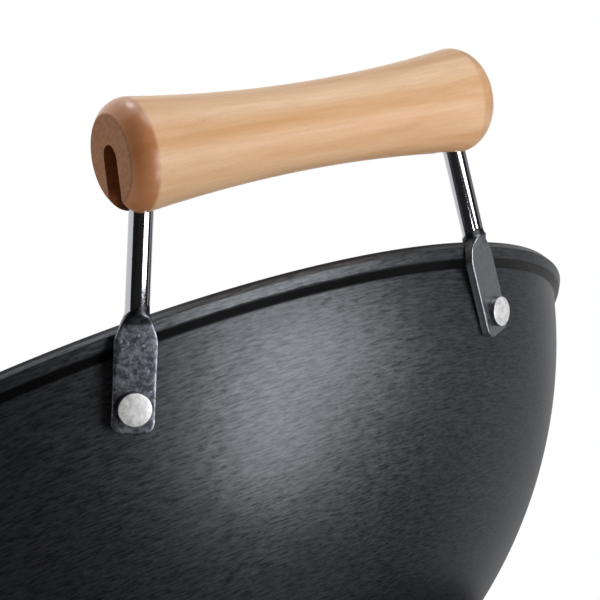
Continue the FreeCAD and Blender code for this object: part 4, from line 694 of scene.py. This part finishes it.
def sleeved(name, low, high):
    """Lead in a braided glass-fibre sleeve: dull, with threads of two shades, 0.5 mm wide."""
    return brushed(name, low, high, 0.7, 0.5, metallic=0.0)


def drawn_wire(name):
    """Spring steel, drawn hard: grey with a bright, slightly streaky shine."""
    return brushed(name, "83868A", "A0A3A7", 0.28, 0.4)


def black_ink():
    """Black ink, screen printed: thin, flat and a little dull."""
    return moulded("Screen-printed black ink", colour("1A1A1B"), colour("242425"), 0.5, 0.2, 0.004)


def base_materials(b):
    """Material for each of the record's slots that the base uses."""
    return {
        # Phenolic, compression moulded: near black, dull and visibly grained.
        "housing_black": moulded("Textured phenolic housing", *around_shade(b.housing), 0.48, 0.5, 0.03),
        # Steel sheet, aluminised in a hot bath: pale, with small spangles.
        "tray_steel": brushed("Aluminised sheet steel", "97999A", "B3B5B6", 0.42, 1.5),
        # Nitrile rubber, moulded: black without shine.
        "rubber": moulded("Moulded nitrile rubber", colour("161616"), colour("202020"), 0.72, 0.6),
        # Steel, zinc plated: bluish grey and softly bright.
        "zinc_plated": brushed("Zinc plated steel", "A2A5A8", "BFC2C5", 0.34, 0.8),
        "stainless": spun_ring(),
        # Aluminium, die-cast and turned: pale satin.
        "cast_aluminium": brushed("Die-cast aluminium, turned", "A5A6A6", "C2C2C1", 0.38, 0.6),
        # Nickel alloy tube, annealed: a dark olive grey skin of oxide.
        "element_sheath": brushed("Annealed element sheath", "4C4B46", "6B6962", 0.5, 1.2),
        # Steatite, pressed and fired: chalky cream.
        "ceramic": moulded("Steatite ceramic", colour("D8D2C4"), colour("E9E4D8"), 0.62, 0.8),
        # Stainless sheet, brushed along X: long, level hairlines.
        "panel_steel": brushed("Hairline stainless panel", "ABABAA", "CFCFCD", 0.32, 30.0, 1.0, 0.18),
        # White ink, screen printed: thin and flat.
        "white_print": moulded("Screen-printed white ink", colour("E4E4E1"), colour("F1F1EE"),
                               0.55, 0.2, 0.005),
        "black_print": black_ink(),
        # Nylon, moulded: black with a low shine.
        "knob_black": moulded("Moulded black nylon knob", *around_shade(b.knob), 0.32, 0.6),
        "lamp_red": red_lens(b),
        # Polyester, moulded: plain cream.
        "switch_plastic": moulded("Moulded cream polyester", colour("C5BDA6"), colour("D5CDB8"),
                                  0.5, 0.6),
        "spring_steel": drawn_wire("Drawn spring wire"),
        # Brass, flashed with nickel: pale gold.
        "brass": brushed("Plated brass", "B8954E", "D1B069", 0.3, 0.5),
        # Nylon, moulded: black and duller than the knob.
        "inlet_black": moulded("Moulded black inlet", colour("141415"), colour("1E1E1F"), 0.45, 0.5),
        "lead_brown": sleeved("Brown sleeved lead", "4A2A17", "6B4023"),
        "lead_blue": sleeved("Blue sleeved lead", "1F4078", "335CA0"),
        "lead_green": sleeved("Green and yellow sleeved lead", "3F7A26", "8FA83A"),
        "lead_white": sleeved("White sleeved lead", "BDBBB4", "D8D6CF"),
    }


# ---- pan -------------------------------------------------------------------------------------
def pan_profile(s):
    """Pan's section from the middle of the underside, round the lip, to the middle of the floor."""
    outside_steps, inside_steps = 60, 56
    root_round, foot_round, edge_round, crown_round, mouth_round = 0.9, 0.55, 0.5, 0.45, 0.8
    crown_overhang = 0.25                     # the crown's corner lies outside its flat by this
    mouth_below, wall_below = -3.0, -4.0      # where the mouth's round and the plain wall begin
    flat_margin = 2.0                         # the underside's last ring is in from its edge by this
    inner = s.sphere - s.wall
    inner_low = -s.depth + s.floor
    inner_top = math.sqrt(inner ** 2 - s.sphere_rise ** 2)
    outer = arc_points(s.sphere_rise, s.sphere, -s.depth, -s.root_depth, outside_steps)
    lip = rounded([
        outer[-2],
        (s.root_radius, -s.root_depth, root_round),
        (s.rim_radius - s.band_taper, -s.band_foot, foot_round),
        (s.rim_radius, -s.band_top, edge_round),
        (s.rim_radius - s.crown_inset + crown_overhang, 0, crown_round),
        (inner_top, 0, mouth_round),
        arc_points(s.sphere_rise, inner, mouth_below, wall_below, 1)[0],
    ])
    inside = arc_points(s.sphere_rise, inner, wall_below, inner_low, inside_steps)
    points = [(0, -s.depth), (s.flat - flat_margin, -s.depth)]
    points += outer[:-2] + [tuple(p) for p in lip] + inside + [(0, inner_low)]
    return [(r * MM, (s.rim_height + z) * MM) for r, z in points]


class OBJECT_OT_wok_pan(bpy.types.Operator):
    """Adds the spun pan"""
    bl_idname = "object.wok_pan"
    bl_label = "Wok pan"

    def execute(self, context):
        s = in_millimetres(context.scene.wok_pan)
        pan = lathe("Pan", pan_profile(s), segments=384)
        finish_all(pan, blackened_steel(s))
        piece(pan, "pan", "seasoned_steel", "wok_pan")
        return {"FINISHED"}


# ---- handles ---------------------------------------------------------------------------------
def handle_axes(h):
    """Rivet, way up the leg, way out of the paddle's face and way across, for the +Y leg."""
    rivet, grip = Vector(h.rivet), Vector(h.grip)
    up = (grip - rivet).normalized()
    out = Vector(h.out)
    out = (out - up * out.dot(up)).normalized()
    return rivet, up, out, out.cross(up)


def bend_cut(h, up):
    """How much of the leg's straight, up to the grip's axis, the bend takes."""
    return h.bend * math.tan(up.angle(-AHEAD) / 2)


def paddle_section(h, along):
    """Half width, half thickness and squareness of the rod at a distance up from the rivet."""
    corner = 3.0                    # radius of the tip's two corners
    tip_half_width = 0.6            # at the very tip
    squareness = 10                 # of the flattened end, over a circle's
    narrowing = (h.paddle_wide - 1.0, h.shoulder + 0.6)
    swelling = (h.paddle_flat - 1.2, h.shoulder + 0.3)
    wide, thin = h.paddle_width / 2, h.paddle_thickness / 2
    from_tip = along + h.paddle_low
    if from_tip < corner:
        wide -= corner - math.sqrt(max(corner ** 2 - (corner - from_tip) ** 2, 0))
    broad = 1 - smooth_step(along, *narrowing)
    flat = 1 - smooth_step(along, *swelling)
    half_width = h.rod_radius + (wide - h.rod_radius) * broad
    half_thick = h.rod_radius + (thin - h.rod_radius) * flat
    return max(half_width, tip_half_width), half_thick, CIRCLE + squareness * flat


def ladder(start, step, count):
    """Evenly spaced places along the leg."""
    return [start + step * k for k in range(count)]


def leg(h):
    """Sections of the +Y leg, from the paddle's tip to the end of the bend in the grip."""
    bend_steps = 12
    rivet, up, out, across = handle_axes(h)
    grip = Vector(h.grip)
    cut = bend_cut(h, up)
    straight = (grip - rivet).length - cut
    tip = ladder(0.05 - h.paddle_low, 0.35, 14)
    paddle = ladder(-1.0, 1.0, 24)
    shoulder = ladder(23.0, 0.35, 20)
    rod = [30.5, 40.0, 55.0, straight]
    sections = []
    for along in tip + paddle + shoulder + rod:
        sections.append(ring_points(rivet + up * along, across, out, *paddle_section(h, along)))
    inward = -AHEAD
    start = grip - up * cut
    centre = start + (inward - up * inward.dot(up)).normalized() * h.bend
    axis = up.cross(inward).normalized()
    turn = up.angle(inward)
    for k in range(1, bend_steps + 1):
        spin = Matrix.Rotation(turn * k / bend_steps, 3, axis)
        middle = centre + spin @ (start - centre)
        sections.append(ring_points(middle, spin @ across, spin @ out, *[h.rod_radius] * 2, CIRCLE))
    return sections


def handle_rod(h, name):
    """The whole rod: one leg, the run through the grip, and the other leg."""
    near = leg(h)
    far = [[Vector((p.x, -p.y, p.z)) for p in section] for section in reversed(near)]
    rod = loft(name, near + far)
    rivet, up, _, _ = handle_axes(h)
    # The neck is painted dark between these, as a painted dark reflection.
    painted_dark_neck = (h.paddle_flat - 2.0, h.paddle_flat + 1.0)         # darkened between these
    neck_low, neck_high, top = [(rivet + up * along).z for along in (*painted_dark_neck, h.shoulder)]
    finish_two(rod, chromed_rod(h), forged_end(neck_low, neck_high),
               lambda face: face.center.z < top * MM)
    return rod


def grip_profile(h):
    """Half of the grip's outline from the waist to the middle of the end face."""
    waist_steps, round_steps, face_steps = 40, 16, 8
    crest = h.half_length - h.end_run
    rise = h.end - h.waist
    sweep = (crest ** 2 + rise ** 2) / (2 * rise)
    points = []
    for k in range(waist_steps + 1):
        along = crest * k / waist_steps
        points.append((h.waist + sweep - math.sqrt(sweep ** 2 - along ** 2), along))
    centre_r = h.end - h.end_round
    turn = math.asin(h.end_run / h.end_round)
    for k in range(1, round_steps + 1):
        a = turn * k / round_steps
        points.append((centre_r + h.end_round * math.cos(a), crest + h.end_round * math.sin(a)))
    face = points[-1][0]
    points += [(face * k / face_steps, h.half_length) for k in range(face_steps - 1, -1, -1)]
    return points


def slot_cutter(h, end, start):
    """Bar with a round top, for the bore and the slot below it at one end (1 or -1) of the grip."""
    deep, reach, top_steps = 30.0, 80.0, 16
    outline = [(-h.bore, -deep), (h.bore, -deep)]
    for k in range(top_steps + 1):
        a = math.pi * k / top_steps
        outline.append((h.bore * math.cos(a), h.bore * math.sin(a)))
    sections = [[Vector((x, z, end * y)) * MM for x, z in outline] for y in (start, reach)]
    return loft(f"cut{end}", sections)


def handle_grip(h, name):
    """Turned grip with its bore and end slots."""
    clearance = 0.4                 # between the slot's end and the bend
    ease = 0.4                      # width of the sanded edges
    sharp = math.radians(22)        # edges that turn more are sanded
    towards_axis = -0.9             # a face of the bore looks this much towards the grip's axis
    half = grip_profile(h)
    profile = [(r * MM, -y * MM) for r, y in reversed(half)] + [(r * MM, y * MM) for r, y in half[1:]]
    spool = lathe(name, profile, segments=160)
    _, up, _, _ = handle_axes(h)
    slot_start = h.grip[1] - bend_cut(h, up) - clearance
    cutters = [slot_cutter(h, end, slot_start) for end in (1, -1)]
    for cutter in cutters:
        slot = spool.modifiers.new("Slot", "BOOLEAN")
        slot.object = cutter
        slot.solver = "EXACT"
    edge = spool.modifiers.new("Sanded edges", "BEVEL")
    edge.width = ease * MM
    edge.segments = 3
    edge.limit_method = "ANGLE"
    edge.angle_limit = sharp
    edge.harden_normals = False
    cut_mesh = evaluated_mesh(spool)
    spool.modifiers.clear()
    spool.data = cut_mesh
    for cutter in cutters:
        bpy.data.objects.remove(cutter)
    spool.data.set_sharp_from_angle(angle=sharp)
    inwards = towards_axis * h.bore * MM
    finish_two(spool, turned_beech(h), bored_beech(),
               lambda face: face.normal.xy.dot(face.center.xy) < inwards)
    grip_up = Vector((up.x, 0, up.z)).normalized()
    centre = Vector((h.grip[0], 0, h.grip[2])) * MM
    return place(spool, centre, AHEAD.cross(grip_up), grip_up, AHEAD)


def rivet_pair(h, name):
    """Both rivets of one handle: head, shank and the low head inside the pan."""
    shank, tail, tail_height, tail_gap = 2.45, 4.4, 1.5, 0.25
    dome = ((3.3, 0.17), (1.7, 0.04), (0, 0))         # radius, and drop below the head's middle
    side_turn = 0.7                                   # faces that look along the rivet less are its side
    rivet, _, out, across = handle_axes(h)
    seat = h.paddle_thickness / 2
    face = seat + h.head_height
    inside = -(seat + h.lift + PAN_WALL + tail_gap)
    outline = rounded([
        (0, inside - tail_height),
        (tail, inside - tail_height + 0.1, 0.8),
        (tail, inside, 0.1),
        (shank, inside),
        (shank, seat),
        (h.head_radius, seat, 0.25),
        (h.head_radius, face - 0.4, 0.35),
        *[(radius, face - drop) for radius, drop in dome],
    ])
    one = lathe(name, [(p.x * MM, p.y * MM) for p in outline], segments=96)
    # The head's side gets the darker metal as painted shade.
    finish_two(one, tumbled_rivet(), rivet_side(), lambda face: abs(face.normal.z) < side_turn)
    place(one, rivet * MM, across, out.cross(across), out)
    other = one.data.copy()
    other.transform(Matrix.Scale(-1, 4, AHEAD))
    other.flip_normals()
    both = bmesh.new()
    both.from_mesh(one.data)
    both.from_mesh(other)
    both.to_mesh(one.data)
    both.free()
    return one


class OBJECT_OT_wok_handles(bpy.types.Operator):
    """Adds both loop handles: rods, grips and rivets"""
    bl_idname = "object.wok_handles"
    bl_label = "Loop handles"

    def execute(self, context):
        h = in_millimetres(context.scene.wok_handle)
        for make, stem, slot in (
            (handle_rod, "handle_rod", "chromed_rod"),
            (handle_grip, "handle_grip", "beech"),
            (rivet_pair, "handle_rivets", "rivet_steel"),
        ):
            right = make(h, stem + "_visual_right")
            left = opposite(right, stem + "_visual_left")
            piece(right, "pan", slot, stem + "_right")
            piece(left, "pan", slot, stem + "_left")
        return {"FINISHED"}


# ---- base ------------------------------------------------------------------------------------
class OBJECT_OT_wok_base(bpy.types.Operator):
    """Finishes the base's parts"""
    bl_idname = "object.wok_base"
    bl_label = "Heating base"

    def execute(self, context):
        finishes = base_materials(in_millimetres(context.scene.wok_base))
        slots = {row["node"]: row["material_slot"] for row in frame["record"]["subparts"]}
        for name, obj in frame["nodes"].items():
            if slots[name] in finishes:
                finish_all(obj, finishes[slots[name]])
        return {"FINISHED"}


class OBJECT_OT_wok_spring(bpy.types.Operator):
    """Adds the pan sensor's coil spring at the CAD part's length; the real spring shortens as the sensor
    goes down
    """
    bl_idname = "object.wok_spring"
    bl_label = "Sensor spring"

    def execute(self, context):
        coil_steps, wire_points = 32, 12
        b = in_millimetres(context.scene.wok_base)
        low, high = [corner[2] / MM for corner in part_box("sensor_spring")]
        first, last = low + b.spring_wire, high - b.spring_wire
        sections = []
        for k in range(b.spring_turns * coil_steps + 1):
            a = 2 * math.pi * k / coil_steps
            out = Vector((math.cos(a), math.sin(a), 0))
            height = first + (last - first) * k / (b.spring_turns * coil_steps)
            centre = out * b.spring_radius + UP * height
            sections.append(ring_points(centre, out, UP, *[b.spring_wire] * 2, CIRCLE, wire_points))
        spring = loft("sensor_spring_visual", sections)
        finish_all(spring, drawn_wire("Drawn spring wire, wound"))
        piece(spring, "base", "spring_steel", "sensor_spring")
        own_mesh(spring)
        return {"FINISHED"}


class OBJECT_OT_wok_numbers(bpy.types.Operator):
    """Adds the printed numbers round the temperature knob"""
    bl_idname = "object.wok_numbers"
    bl_label = "Dial numbers"

    def execute(self, context):
        highest = 5
        size_over_height = 1.4        # of the letters' size over a number's height
        ink_depth, stand_off = 0.04, 0.03
        b = in_millimetres(context.scene.wok_base)
        ink = black_ink()
        for digit in range(highest + 1):
            text = bpy.data.curves.new(f"number_{digit}", "FONT")
            text.body = str(digit)
            text.size = b.number_height * size_over_height * MM
            text.align_x = "CENTER"
            text.align_y = "CENTER"
            text.extrude = ink_depth * MM
            source = add_object(f"number_source_{digit}", text)
            mesh = evaluated_mesh(source)
            bpy.data.objects.remove(source)
            obj = add_object(f"dial_number_{digit}", mesh)
            clockwise = b.travel * (digit / highest - 0.5)
            x = b.number_circle * math.sin(clockwise)
            z = b.middle + b.number_circle * math.cos(clockwise)
            place(obj, Vector((x, b.face - stand_off, z)) * MM, Vector((1, 0, 0)), UP, -AHEAD)
            finish_all(obj, ink)
            piece(obj, "base", "black_print")
        return {"FINISHED"}


# ---- stage -----------------------------------------------------------------------------------
# Name, place, aim and size in metres, power in watts, whether it lights the floor, whether mirrors
# show it.
LAMPS = (
    # Soft shine low on the bowl.
    ("Low key", (0.40, 0.085, 0.02), (0.175, 0.0, 0.20), (0.23, 0.15), 0.82, False, True),
    # Narrow lower end of that shine.
    ("Floor key", (0.28, 0.01, 0.006), (0.22, 0.0, 0.15), (0.07, 0.07), 0.2, False, True),
    # Main light on the handle and the lip.
    ("Front top", (0.80, 0.35, 0.80), (0.19, 0.0, 0.22), (0.7, 0.5), 4.2, True, True),
    # Gloss on the top of the grip.
    ("Top gleam", (0.275, -0.005, 0.75), (0.21, -0.058, 0.248), (0.10, 0.10), 0.42, False, True),
    # Fills for the sides that turn away from the main light.
    ("Front fill", (-0.45, -0.90, 0.60), (0.0, 0.0, 0.15), (0.6, 0.5), 7.0, False, False),
    ("Back fill", (-0.95, 0.50, 0.60), (0.0, 0.0, 0.15), (0.6, 0.5), 5.0, False, False),
)


def softbox(name, at, towards, size, power, on_floor, in_mirrors, floor):
    """Rectangular light."""
    lamp = bpy.data.lights.new(name, "AREA")
    lamp.shape = "RECTANGLE"
    lamp.size, lamp.size_y = size
    lamp.energy = power
    obj = add_object(name, lamp)
    obj.location = at
    aim = (Vector(towards) - Vector(at)).normalized()
    obj.rotation_euler = aim.to_track_quat("-Z", "Y").to_euler()
    obj.visible_camera = False
    obj.visible_glossy = in_mirrors
    if not on_floor:
        lit = bpy.data.collections.new(name + " lights")
        lit.objects.link(floor)
        obj.light_linking.receiver_collection = lit
        lit.collection_objects[0].light_linking.link_state = "EXCLUDE"


def white_surroundings(s):
    """White for the eye and in mirrors and glass, and an even fill on matt surfaces."""
    world = bpy.data.worlds.new("Surroundings")
    bpy.context.scene.world = world
    w = Nodes(world, "Background")
    path = w.add("LightPath").node.outputs
    seen = w.add("Math", (path["Is Camera Ray"], path["Is Glossy Ray"]), operation="MAXIMUM")
    seen = w.add("Math", (seen, path["Is Transmission Ray"]), operation="MAXIMUM")
    w.finish({"Color": (1, 1, 1, 1), "Strength": w.add("Mix", {"Factor": seen, "A": s.fill, "B": 1.0})})


def table_top(s):
    """Paper, white and uncoated: a plain floor that keeps the shadow and throws little light back up."""
    half = 4.0                      # in metres
    floor = add_mesh("floor", [(-half, -half, 0), (half, -half, 0), (half, half, 0), (-half, half, 0)],
                     [[0, 1, 2, 3]])
    m = new_material("White seamless paper")
    # Paper's fibres are about 0.02 mm wide, and they are drawn 2 mm wide, so that they show.
    fibre = m.add("TexNoise", {"Vector": m.over(2), "Scale": 1, "Detail": 3, "Roughness": 0.55})
    shade = m.add("MapRange", (fibre, 0.3, 0.7))
    path = m.add("LightPath").node.outputs
    paper = colour("FBFBFB")
    for amount, code in ((shade, "FFFFFF"), (path["Is Diffuse Ray"], "B4B4B4")):
        paper = m.add("Mix", {FACTOR: amount, FIRST: paper, SECOND: colour(code)}, **OF_COLOURS)
    to_eye = m.add("Math", (path["Is Camera Ray"], s.floor_glow), operation="MULTIPLY")
    to_mirrors = m.add("Math", (path["Is Glossy Ray"], s.mirror_glow), operation="MULTIPLY")
    finish_all(floor, m.finish({
        "Base Color": paper,
        "Roughness": 0.9,
        "Specular IOR Level": 0.0,
        "Emission Color": colour("FFFFFF"),
        "Emission Strength": m.add("Math", (to_eye, to_mirrors), operation="ADD"),
    }))
    return floor


def card(name, start, stop, tone):
    """Velvet card on the floor and up a wall, between two compass angles, seen only in mirrors."""
    steps = 24
    near, far, low, high = 0.135, 1.3, 0.0015, 1.7        # in metres
    verts = []
    for k in range(steps + 1):
        a = start + (stop - start) * k / steps
        x, y = math.cos(a), math.sin(a)
        verts += [(near * x, near * y, low), (far * x, far * y, low), (far * x, far * y, high)]
    faces = []
    for i in range(0, 3 * steps, 3):
        faces += [[i, i + 1, i + 4, i + 3], [i + 1, i + 2, i + 5, i + 4]]
    velvet = add_mesh(name, verts, faces, smooth=False)
    m = new_material("Velvet " + name)
    # Tufts of pile, 1 mm wide.
    pile = m.add("TexNoise", {"Vector": m.over(1), "Scale": 1, "Detail": 2, "Roughness": 0.55})
    dark, light = around_shade(linear(tone))
    finish_all(velvet, m.finish({
        "Base Color": m.add("Mix", {FACTOR: pile, FIRST: dark, SECOND: light}, **OF_COLOURS),
        "Roughness": 1.0,
        "Specular IOR Level": 0.0,
    }))
    velvet.visible_camera = False
    velvet.visible_diffuse = False
    velvet.visible_transmission = False
    velvet.visible_shadow = False


def add_camera(s):
    """Camera on the +X side of the pan, a little below the rim."""
    camera = bpy.data.cameras.new("Camera")
    camera.lens = s.lens
    camera.sensor_width = 36.0
    camera.clip_start = 0.01
    obj = add_object("Camera", camera)
    right, up = Vector(s.right).normalized(), Vector(s.up).normalized()
    turn = Matrix((right, up, right.cross(up))).transposed().to_4x4()
    obj.matrix_world = Matrix.Translation(Vector(s.camera)) @ turn
    bpy.context.scene.camera = obj


class OBJECT_OT_wok_stage(bpy.types.Operator):
    """Adds the camera, the lights and the white surroundings"""
    bl_idname = "object.wok_stage"
    bl_label = "Stage"

    def execute(self, context):
        s = context.scene.wok_stage
        context.scene.view_settings.view_transform = "Standard"
        add_camera(s)
        white_surroundings(s)
        floor = table_top(s)
        card("black_card", s.card_from, s.card_split, "363434")
        card("grey_card", s.card_split, s.card_to, "CECED0")
        for lamp in LAMPS:
            softbox(*lamp, floor)
        return {"FINISHED"}


# ---- add-on ----------------------------------------------------------------------------------
class VIEW3D_PT_wok(bpy.types.Panel):
    """Buttons for each piece"""
    bl_idname = "VIEW3D_PT_wok"
    bl_label = "Electric wok"
    bl_space_type = "VIEW_3D"
    bl_region_type = "UI"
    bl_category = "Wok"

    def draw(self, context):
        for operator in OPERATORS:
            self.layout.operator(operator.bl_idname)


SETTINGS = {
    "wok_pan": WokPanSettings,
    "wok_handle": WokHandleSettings,
    "wok_base": WokBaseSettings,
    "wok_stage": WokStageSettings,
}
OPERATORS = [
    OBJECT_OT_wok_pan, OBJECT_OT_wok_handles, OBJECT_OT_wok_base, OBJECT_OT_wok_spring,
    OBJECT_OT_wok_numbers, OBJECT_OT_wok_stage,
]


def register():
    for cls in [*SETTINGS.values(), *OPERATORS, VIEW3D_PT_wok]:
        bpy.utils.register_class(cls)
    for name, cls in SETTINGS.items():
        setattr(bpy.types.Scene, name, bpy.props.PointerProperty(type=cls))


def unregister():
    for name in SETTINGS:
        delattr(bpy.types.Scene, name)
    for cls in [VIEW3D_PT_wok, *reversed(OPERATORS), *reversed(SETTINGS.values())]:
        bpy.utils.unregister_class(cls)


def main():
    register()
    bpy.ops.object.wok_pan()
    bpy.ops.object.wok_handles()
    bpy.ops.object.wok_base()
    bpy.ops.object.wok_spring()
    bpy.ops.object.wok_numbers()
    bpy.ops.object.wok_stage()


if __name__ == "__main__":
    main()
